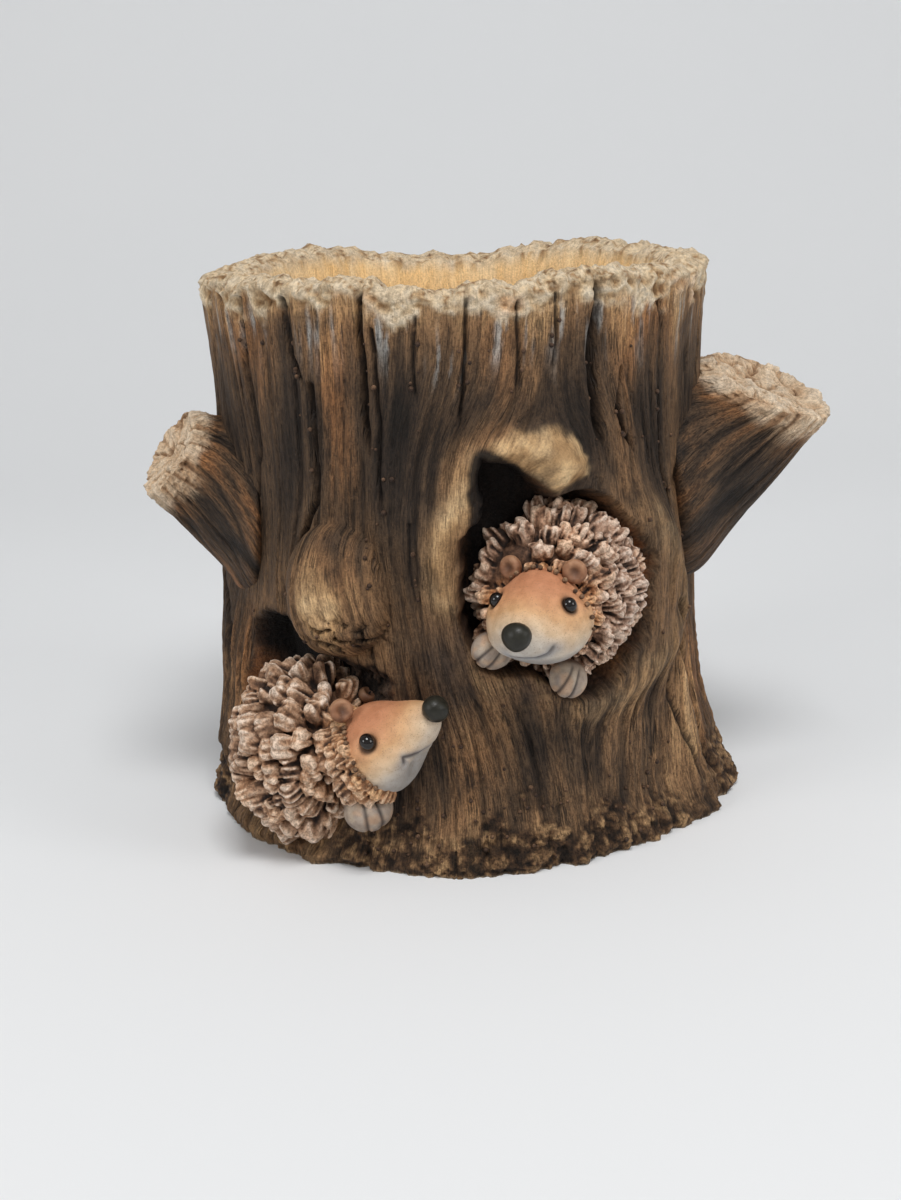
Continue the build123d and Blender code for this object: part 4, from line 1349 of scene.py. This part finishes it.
def mouth_distance(unit, points):
    """Angle in degrees from a line drawn on the head, and the share of it passed."""
    turn = np.degrees(np.arctan2(unit[:, 0], unit[:, 2]))
    lift = np.degrees(np.arcsin(np.clip(unit[:, 1], -1, 1)))
    best, share = np.full(len(turn), 1e9), np.zeros(len(turn))
    for index, ((a0, b0), (a1, b1)) in enumerate(zip(points, points[1:])):
        da, db = a1 - a0, b1 - b0
        t = np.clip(((turn - a0) * da + (lift - b0) * db) / (da * da + db * db), 0, 1)
        away = np.hypot(turn - a0 - t * da, lift - b0 - t * db)
        share = np.where(away < best, (index + t) / (len(points) - 1), share)
        best = np.minimum(best, away)
    return best, share


def node_centre(node):
    """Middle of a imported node's box, in mm."""
    low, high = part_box(node)
    return np.array((low + high) / 2) / MM


def head_shape(unit, spec):
    """Distance in mm from the head's centre along each direction, and the features for the paint."""
    low_side, top_side, above, below, ahead = spec["radii"]
    lift = np.degrees(np.arcsin(np.clip(unit[:, 1], -1, 1)))
    side = low_side + (top_side - low_side) * smooth(-5, 55, lift)
    tall = np.where(unit[:, 1] > 0, above, below)
    reach = 1 / np.sqrt((unit[:, 0] / side) ** 2 + (unit[:, 1] / tall) ** 2 + (unit[:, 2] / ahead) ** 2)
    long, wide, drop = spec["muzzle"]
    muzzle = bell(between(unit, direction(0, drop)), wide)
    reach = reach + long * muzzle
    for sign in (-1, 1):
        reach = reach + spec["cheek"] * bell(between(unit, direction(sign * 40, -20)), 21)
    reach = reach - spec["jaw"] * bell(between(unit, direction(0, -52)), 26)
    sockets = np.zeros(len(unit))
    for aim in spec["eyes"]:
        reach = reach - 1.0 * bell(between(unit, aim), 13) + 0.5 * bell(between(unit, aim) - 17, 5)
        sockets = np.maximum(sockets, smooth(14, 9.5, between(unit, aim)))
    away, share = mouth_distance(unit, spec["mouth"])
    line = bell(away, 2.3) * smooth(0, 0.06, np.minimum(share, 1 - share) + 0.03)
    below_lip = bell(away - 6, 5) * (unit[:, 1] < 0)
    reach = reach - 0.85 * line + 0.35 * below_lip
    corners = bell(np.minimum(share, 1 - share), 0.12)
    return reach, {
        "muzzle": muzzle, "sockets": sockets, "mouth": line, "shade": bell(away, 5 + 6 * corners),
    }


def face_paint(unit, points, kinds, spec):
    """Pinkish hairline, peach cheeks and a pale muzzle, with grey painted shade along the mouth and under
    the chin.
    """
    height = unit[:, 1]
    pale = smooth(
        spec["pale"][0], spec["pale"][1],
        -height + 0.45 * kinds["muzzle"] + 0.08 * layered(points / 4, 3, 701),
    )
    colour = ramp(
        [
            (0, tone(196, 134, 98)), (0.2, tone(205, 150, 108)), (0.45, tone(212, 168, 124)),
            (0.7, tone(215, 188, 156)),
            (0.9, tone(207, 195, 180)), (1, tone(192, 189, 184)),
        ],
        pale,
    )
    # Painted shade: grey-blue along the mouth line, and a darker grey on the underside of the head.
    colour = blend(colour, tone(140, 146, 156), 0.62 * kinds["shade"] * smooth(0.0, -0.3, height))
    colour = blend(colour, tone(150, 146, 144), 0.6 * smooth(-0.4, -0.8, height))
    colour = blend(colour, tone(58, 48, 46), spec["ink"] * kinds["mouth"])
    return blend(colour, tone(46, 30, 24), 0.85 * kinds["sockets"])


def make_head(name, node, spec):
    """One head, shaped and painted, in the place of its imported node."""
    piece = make_sphere(name, 200, 150)
    unit = get_points(piece)
    side, ahead, above = local_axes(spec["turn"], spec["face_lift"])
    reach, kinds = head_shape(unit, spec)
    local = unit * reach[:, None]
    points = spec["centre"] + local[:, [0]] * side + local[:, [1]] * above + local[:, [2]] * ahead
    points = (
        points + 0.12 * layered(points / 2.2, 2, 711)[:, None] * (points - spec["centre"]) / reach[:, None]
    )
    set_points(piece, points * MM)
    store(piece, "paint", with_alpha(face_paint(unit, points, kinds, spec)))
    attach(piece, "root")
    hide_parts(node)
    print(name, "reaches", round(float(reach.max()), 1), "mm from its middle")
    return piece


def eye_aims(spec, nodes):
    """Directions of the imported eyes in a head's own axes."""
    side, ahead, above = local_axes(spec["turn"], spec["face_lift"])
    aims = []
    for node in nodes:
        step = node_centre(node) - spec["centre"]
        step /= np.linalg.norm(step)
        aims.append(np.array([step @ side, step @ above, step @ ahead]))
    return aims


UPPER = {
    "centre": UPPER_HEAD, "turn": UPPER_TURN, "face_lift": UPPER_LIFT,
    "radii": (19.0, 15.0, 17.4, 16.6, 17.5), "muzzle": (7.5, 30, -4), "cheek": 1.9, "jaw": 0.6, "ink": 0.62,
    "mouth": [(-16, -28), (-8, -29), (0, -27), (14, -27), (26, -21), (31, -13)], "pale": (-0.95, 0.85),
}
UPPER["eyes"] = eye_aims(UPPER, ("upper_left_eye", "upper_right_eye"))
LOWER = {
    "centre": LOWER_HEAD, "turn": LOWER_TURN, "face_lift": LOWER_LIFT,
    "radii": (17.6, 15.4, 17.0, 16.8, 17.0), "muzzle": (10.5, 27, -2), "cheek": 1.0, "jaw": 5.4, "ink": 0.8,
    "mouth": [(-45, -32), (-42, -23), (-31, -27), (-16, -31), (0, -32), (16, -31), (31, -27), (42, -23)],
    "pale": (-0.72, 1.0),
}
LOWER["eyes"] = eye_aims(LOWER, ("lower_eye",))
LOWER["eyes"].append(LOWER["eyes"][0] * np.array([-1, 1, 1]))
upper_head = make_head("painted_upper_face", "upper_face", UPPER)
lower_head = make_head("painted_lower_face", "lower_face", LOWER)

# %% [markdown]
# The faces were sprayed in soft layers and then flicked with a brush, which leaves fine dark specks.
# A noise with a high threshold gives the specks, and a faint grain keeps the skin from looking plastic.

# %% Face paint with fine specks
board = Board("face_paint", specular_ior_level=0.35)
paint = board.attribute("paint")
place = board.node("ShaderNodeTexCoord", output="Object")
flecks = board.step(board.noise(place, 2.0, 0.5, 2300.0), 0.60, 0.68)
mottle = board.noise(place, 4.0, 0.6, 260.0)
skin = board.mix(
    board.step(mottle, 0.3, 0.7), board.mix(1.0, paint, (0.86, 0.82, 0.78, 1), "MULTIPLY"),
    board.mix(1.0, paint, (1.05, 1.05, 1.05, 1), "MULTIPLY"),
)
skin = board.mix(flecks * 0.55, skin, (0.22, 0.13, 0.08, 1))
face_material = board.set(
    base_color=skin, roughness=board.step(mottle, 0.3, 0.7, 0.5, 0.66),
    normal=board.bump(board.noise(place, 3.0, 0.6, 1800.0), 0.0002, 0.5),
)
for piece in (upper_head, lower_head):
    dress(piece, face_material)
print("face material has", len(board.tree.nodes), "nodes")

# %% [markdown]
# Noses and eyes are small beads. The noses have a satin paint, olive in the light, and the eyes are
# lacquered black so that they catch the lamps. Each is a slightly stretched sphere, sat in its socket.


# %% Noses and eyes
def bead(name, node, axes, radii, shape=None, nudge=(0, 0, 0)):
    """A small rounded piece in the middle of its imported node, with radii in mm along its own axes."""
    piece = make_sphere(name, 48, 32)
    unit = get_points(piece)
    local = unit * np.array(radii)
    if shape:
        local = shape(unit, local)
    side, ahead, above = axes
    middle = node_centre(node) + np.array(nudge)
    set_points(piece, (middle + local[:, [0]] * side + local[:, [1]] * above + local[:, [2]] * ahead) * MM)
    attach(piece, "root")
    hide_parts(node)
    return piece


def nose_shape(unit, local):
    """Widens the top of a nose and notches it below."""
    local[:, 0] *= 1 + 0.10 * unit[:, 1]
    local[:, 1] -= 0.5 * bell(unit[:, 0], 0.35) * np.clip(-unit[:, 1], 0, 1) * np.clip(unit[:, 2], 0, 1)
    return local


noses = [
    bead("upper_nose_bead", "upper_nose", UPPER_AXES, (5.2, 5.0, 4.6), nose_shape, (0.8, 0, 1.2)),
    bead("lower_nose_bead", "lower_nose", LOWER_AXES, (5.0, 4.9, 4.6), nose_shape, (0.0, 0, 2.0)),
]
eyes = [
    bead("upper_left_eye_bead", "upper_left_eye", UPPER_AXES, (2.75, 2.9, 2.6)),
    bead("upper_right_eye_bead", "upper_right_eye", UPPER_AXES, (2.75, 2.9, 2.6)),
    bead("lower_eye_bead", "lower_eye", LOWER_AXES, (3.1, 3.2, 2.8), None, (0, 0, 0.8)),
]
board = Board("satin_nose_paint", specular_ior_level=0.28)
place = board.node("ShaderNodeTexCoord", output="Object")
cloud = board.noise(place, 3.0, 0.55, 420.0)
nose_paint = board.set(
    base_color=board.mix(cloud, (0.010, 0.009, 0.007, 1), (0.034, 0.032, 0.023, 1)),
    roughness=board.step(cloud, 0.3, 0.7, 0.28, 0.42),
    normal=board.bump(board.noise(place, 2.0, 0.5, 2200.0), 0.00015, 0.5),
)
board = Board("lacquered_eye", specular_ior_level=0.42, coat_weight=0.15)
place = board.node("ShaderNodeTexCoord", output="Object")
cloud = board.noise(place, 2.0, 0.5, 900.0)
eye_paint = board.set(
    base_color=board.mix(cloud, (0.004, 0.003, 0.003, 1), (0.014, 0.010, 0.008, 1)),
    roughness=board.step(cloud, 0.2, 0.8, 0.02, 0.05),
)
for piece in noses:
    dress(piece, nose_paint)
for piece in eyes:
    dress(piece, eye_paint)
print(len(noses), "noses and", len(eyes), "eyes")

# %% [markdown]
# Ears are thick round cups that stand out of the quills, with a dark hollow in front.
# Paws are rounded stubs with two dark lines between the toes, which we press in as soft grooves.


# %% Ears and paws
def make_ear(name, node, facing, radius, thick, nudge=(0, 0, 0), shade=1.0):
    """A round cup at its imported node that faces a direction."""
    facing = facing / np.linalg.norm(facing)
    side = np.cross([0, 0, 1.0], facing)
    side /= np.linalg.norm(side)
    above = np.cross(facing, side)
    piece = make_sphere(name, 64, 48)
    unit = get_points(piece)
    rho = np.hypot(unit[:, 0], unit[:, 1])
    dish = bell(rho, 0.62) * np.clip(unit[:, 2], 0, 1)
    local = unit * np.array([radius, radius, thick])
    local[:, 2] -= 0.85 * thick * dish
    points = (
        node_centre(node) + np.array(nudge) + local[:, [0]] * side + local[:, [1]] * above
        + local[:, [2]] * facing
    )
    points = points + 0.18 * layered(points / 1.8, 2, 721)[:, None] * side
    set_points(piece, points * MM)
    # Painted light: the top of each ear is painted lighter and its bottom darker.
    colour = ramp(
        [(0, tone(104, 68, 48)), (0.5, tone(146, 102, 74)), (1, tone(180, 138, 106))],
        0.5 + 0.3 * unit[:, 1] + 0.4 * layered(points / 2, 2, 731),
    )
    # Painted shade: the hollow of the cup is painted darker.
    colour = blend(colour, tone(84, 56, 42), 0.75 * smooth(0.35, 1.0, dish))
    colour = blend(colour, tone(110, 70, 46), smooth(-0.1, -0.7, unit[:, 2]))
    store(piece, "paint", with_alpha(colour * shade))
    dress(piece, face_material)
    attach(piece, "root")
    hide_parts(node)


def make_paw(name, node, centre, across, ahead, radii):
    """A rounded paw with two grooves between three toes."""
    across, ahead = across / np.linalg.norm(across), ahead / np.linalg.norm(ahead)
    above = np.cross(ahead, across)
    piece = make_sphere(name, 96, 72)
    unit = get_points(piece)
    wide, tall, long = radii
    front = smooth(-0.35, 0.15, unit[:, 2])
    place = unit[:, 0] / np.sqrt(np.clip(1 - 0.65 * unit[:, 1] ** 2, 0.2, 1))
    grooves = np.maximum(bell(place - 0.30, 0.075), bell(place + 0.36, 0.075)) * front
    toes = (
        np.maximum(np.maximum(bell(place, 0.2), bell(place - 0.66, 0.2)), bell(place + 0.66, 0.2)) * front
    )
    size = 1 - 0.08 * grooves + 0.02 * toes
    local = unit * np.array([wide, tall, long]) * size[:, None]
    points = centre + local[:, [0]] * across + local[:, [1]] * above + local[:, [2]] * ahead
    set_points(piece, points * MM)
    colour = ramp(
        # Painted light: the upper side of the paw is painted lighter and its underside darker.
        [(0, tone(112, 102, 96)), (0.5, tone(156, 142, 130)), (1, tone(190, 174, 154))],
        0.5 + 0.5 * layered(points / 3, 3, 741) + 0.2 * unit[:, 1],
    )
    colour = blend(colour, tone(196, 158, 124), 0.5 * smooth(0.0, 0.5, layered(points / 4, 2, 751)))
    colour = blend(colour, tone(52, 46, 46), 0.85 * grooves**0.7)
    colour = blend(colour, tone(84, 62, 48), smooth(0.0, -0.7, unit[:, 2]))
    store(piece, "paint", with_alpha(colour))
    dress(piece, face_material)
    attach(piece, "root")
    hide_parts(node)


s, f, u = UPPER_AXES
make_ear("upper_left_ear_cup", "upper_left_ear", f - 0.35 * s + 0.1 * u, 4.4, 3.3)
make_ear("upper_right_ear_cup", "upper_right_ear", f + 0.35 * s + 0.1 * u, 4.4, 3.3)
make_paw(
    "upper_left_paw_toes", "upper_left_paw", np.array([10.0, -100.5, 83.4]), np.array([0.8, 0.1, -0.6]),
    np.array([-0.45, -0.8, -0.45]), (7.4, 6.4, 7.6),
)
make_paw(
    "upper_right_paw_toes", "upper_right_paw", np.array([36.8, -96.5, 70.8]), np.array([0.85, 0.1, -0.45]),
    np.array([-0.2, -0.8, -0.55]), (7.0, 6.0, 7.4),
)
s, f, u = LOWER_AXES
make_ear("lower_near_ear_cup", "lower_near_ear", f * 0.5 - s * 0.2 + np.array([0.1, -0.8, 0.1]), 4.3, 3.3)
make_ear("lower_far_ear_cup", "lower_far_ear", f + 0.3 * u, 3.5, 3.0, (-3.8, 1.2, -1.6), 0.55)
make_paw(
    "lower_paw_toes", "lower_paw", np.array([-36.2, -101.0, 24.8]), np.array([1.0, 0.4, 0.2]),
    np.array([0.35, -1.0, -0.2]), (9.2, 7.0, 9.5),
)
print("ears and paws done")

# %% [markdown]
# When stone paste is poured into a mould, air bubbles against the skin leave tiny beads on the casting.
# They sit along the cracks and over the soil, and a row of them runs along each hedgehog's hairline.
# Each bead is a sphere with a few dozen faces, and all of them together make one piece.


# %% Scatter the beads
def bark_beads(chance):
    """Places in mm and radii of the beads on the bark."""
    spots = [(a, z) for a, z in zip(chance.uniform(-72, 78, 70), chance.uniform(30, 190, 70))]
    spots += [(a, z) for a, z in zip(chance.uniform(-22, 48, 70), chance.uniform(4, 30, 70))]
    for points, _, _ in CRACKS[:13]:
        path = np.array(points)
        for share in chance.uniform(0.1, 0.95, 4):
            place = share * (len(path) - 1)
            whole = int(place)
            spot = path[whole] + (path[whole + 1] - path[whole]) * (place - whole)
            spots.append((spot[0] + chance.choice([-0.9, 0.9]), spot[1]))
    angle, height = np.array(spots).T
    radii = chance.uniform(0.45, 1.0, len(angle))
    skin = bark(angle, height)
    reach = skin["mean"] + skin["out"] + 0.25 * radii
    open_bark = (skin["hollow"] < -2) & (skin["cave"] < -2) & (skin["lip"] < 0.5) & (skin["knot"] < 0.2)
    turn = np.radians(angle)
    places = np.stack([reach * np.sin(turn), -reach * np.cos(turn), height], 1)
    return places[open_bark], radii[open_bark]


def hairline_beads(spec, psi, arcs, chance):
    """Places in mm and radii of the beads round a face."""
    side, ahead, above = local_axes(spec["turn"], spec["face_lift"])
    phi = np.radians(np.concatenate([np.linspace(first, last, count) for first, last, count in arcs]))
    phi = phi + chance.uniform(-0.05, 0.05, len(phi))
    away = np.radians(psi + chance.uniform(-3, 3, len(phi)))
    unit = np.stack([np.sin(away) * np.cos(phi), np.sin(away) * np.sin(phi), np.cos(away)], 1)
    reach, _ = head_shape(unit, spec)
    local = unit * (reach + 0.9)[:, None]
    places = spec["centre"] + local[:, [0]] * side + local[:, [1]] * above + local[:, [2]] * ahead
    return places, chance.uniform(0.7, 1.05, len(phi))


chance = np.random.default_rng(801)
groups = [
    bark_beads(chance), hairline_beads(UPPER, 86, [(58, 124, 8), (-5, 40, 5)], chance),
    hairline_beads(LOWER, 97, [(126, 214, 12)], chance),
]
centres = np.concatenate([group[0] for group in groups])
radii = np.concatenate([group[1] for group in groups])
beads = make_sphere("casting_beads", 8, 6)
unit = get_points(beads)
ball = [tuple(face.vertices) for face in beads.data.polygons]
points = np.concatenate([centre + unit * radius for centre, radius in zip(centres, radii)])
mesh = bpy.data.meshes.new("casting_beads")
faces = [tuple(v + n * len(unit) for v in face) for n in range(len(centres)) for face in ball]
mesh.from_pydata((points * MM).tolist(), [], faces)
old, beads.data = beads.data, mesh
bpy.data.meshes.remove(old)
bpy.ops.object.shade_smooth()
# Painted light: each bead is painted lighter on top and darker below, over its own random tint.
tints_and_top_light = np.repeat(chance.uniform(0, 0.6, len(centres)), len(unit)) + 0.3 * np.tile(unit[:, 2], len(centres))
tints_and_top_light[len(groups[0][0]) * len(unit):] += 0.5
bead_stops = [(0.0, tone(52, 38, 30)), (0.6, tone(94, 70, 52)), (1.2, tone(150, 118, 90))]
store(beads, "paint", with_alpha(ramp(bead_stops, tints_and_top_light)))
dress(beads, quill_paint)
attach(beads, "root")
print(len(centres), "beads of", len(ball), "faces each")

# %% [markdown]
# The pot stands on a pale studio sweep: a floor that bends up into a wall behind it, without a corner.
# It is a plane cut into rows, and the rows behind the pot are moved along an arc and then straight up.

# %% Studio sweep
bpy.ops.object.select_all(action="DESELECT")
bpy.ops.mesh.primitive_plane_add(size=1, location=(0, 0, 0))
sweep = bpy.context.active_object
sweep.name = "studio_sweep"
ROWS_OF_SWEEP = 60
bpy.ops.object.mode_set(mode="EDIT")
bpy.ops.mesh.select_all(action="SELECT")
bpy.ops.mesh.subdivide(number_cuts=ROWS_OF_SWEEP)
bpy.ops.object.mode_set(mode="OBJECT")
flat = get_points(sweep)
run = (flat[:, 1] + 0.5) * 4.6
start, bend = 2.2, 0.9
arc = np.clip((run - start) / (bend * math.pi / 2), 0, 1)
far = np.clip(run - start - bend * math.pi / 2, 0, None)
depth = np.where(run < start, run, start + bend * np.sin(arc * math.pi / 2))
rise = np.where(run < start, 0, bend * (1 - np.cos(arc * math.pi / 2)) + far)
set_points(sweep, np.stack([flat[:, 0] * 5.0, depth - 1.6, rise], 1))
bpy.ops.object.shade_smooth()
board = Board("studio_paper", roughness=0.9, specular_ior_level=0.05)
place = board.node("ShaderNodeTexCoord", output="Object")
tooth = board.noise(place, 3.0, 0.5, 2.0)
dress(sweep, board.set(base_color=board.mix(tooth, (0.80, 0.81, 0.82, 1), (0.83, 0.835, 0.84, 1))))
sweep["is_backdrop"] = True
print("sweep rises to", round(float(rise.max()), 2), "m")

# %% [markdown]
# Light comes from broad soft panels, as in a product studio: one above and in front, one from the left,
# a weaker one from the right, and a pale surround that keeps the shadows open.


# %% Studio light and camera
def panel(name, place, aim, size, power, colour=(1, 1, 1)):
    """A square soft light that looks at a point."""
    bpy.ops.object.light_add(type="AREA", location=place)
    lamp = bpy.context.active_object
    lamp.name = name
    lamp.data.size = size
    lamp.data.energy = power
    lamp.data.color = colour
    lamp.rotation_euler = (Vector(aim) - Vector(place)).to_track_quat("-Z", "Y").to_euler()


panel("soft_top_light", (0.2, -1.0, 2.0), (0, 0, 0.1), 0.8, 25)
panel("soft_left_light", (-1.5, -1.2, 0.9), (0, 0, 0.1), 0.7, 8.5)
panel("soft_right_light", (1.6, -0.9, 0.9), (0, 0, 0.1), 0.7, 6.5)
world = bpy.data.worlds.new("studio_surround")
world.use_nodes = True
world.node_tree.nodes["Background"].inputs[0].default_value = (0.98, 0.99, 1.0, 1)
world.node_tree.nodes["Background"].inputs[1].default_value = 0.36
bpy.context.scene.world = world

PITCH, PAN, ROLL = math.radians(15.453), math.radians(-0.419), math.radians(-1.847)
forward = Vector((math.sin(PAN) * math.cos(PITCH), math.cos(PAN) * math.cos(PITCH), -math.sin(PITCH)))
level = Vector((math.cos(PAN), -math.sin(PAN), 0))
upright = level.cross(forward)
right = math.cos(ROLL) * level + math.sin(ROLL) * upright
up = -math.sin(ROLL) * level + math.cos(ROLL) * upright
CAMERA_PLACE = (0, -0.6726, 0.2603)
bpy.ops.object.camera_add(location=CAMERA_PLACE)
camera = bpy.context.active_object
camera.name = "studio_camera"
camera.data.lens = 51
camera.data.sensor_width = 36
camera.matrix_world = Matrix((
    (right.x, up.x, -forward.x, CAMERA_PLACE[0]),
    (right.y, up.y, -forward.y, CAMERA_PLACE[1]),
    (right.z, up.z, -forward.z, CAMERA_PLACE[2]),
    (0, 0, 0, 1),
))
scene = bpy.context.scene
scene.camera = camera
scene.view_settings.view_transform = "Standard"
print("camera looks along", tuple(round(v, 3) for v in forward))

# %% [markdown]
# Last, we print the box of the finished looks beside the box of the imported solids.

# %% Print the sizes and finish
bpy.context.view_layer.update()
visual_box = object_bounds()
sizes = {"cad": [list(corner) for corner in cad_box], "visual": [list(corner) for corner in visual_box]}
print(sizes)
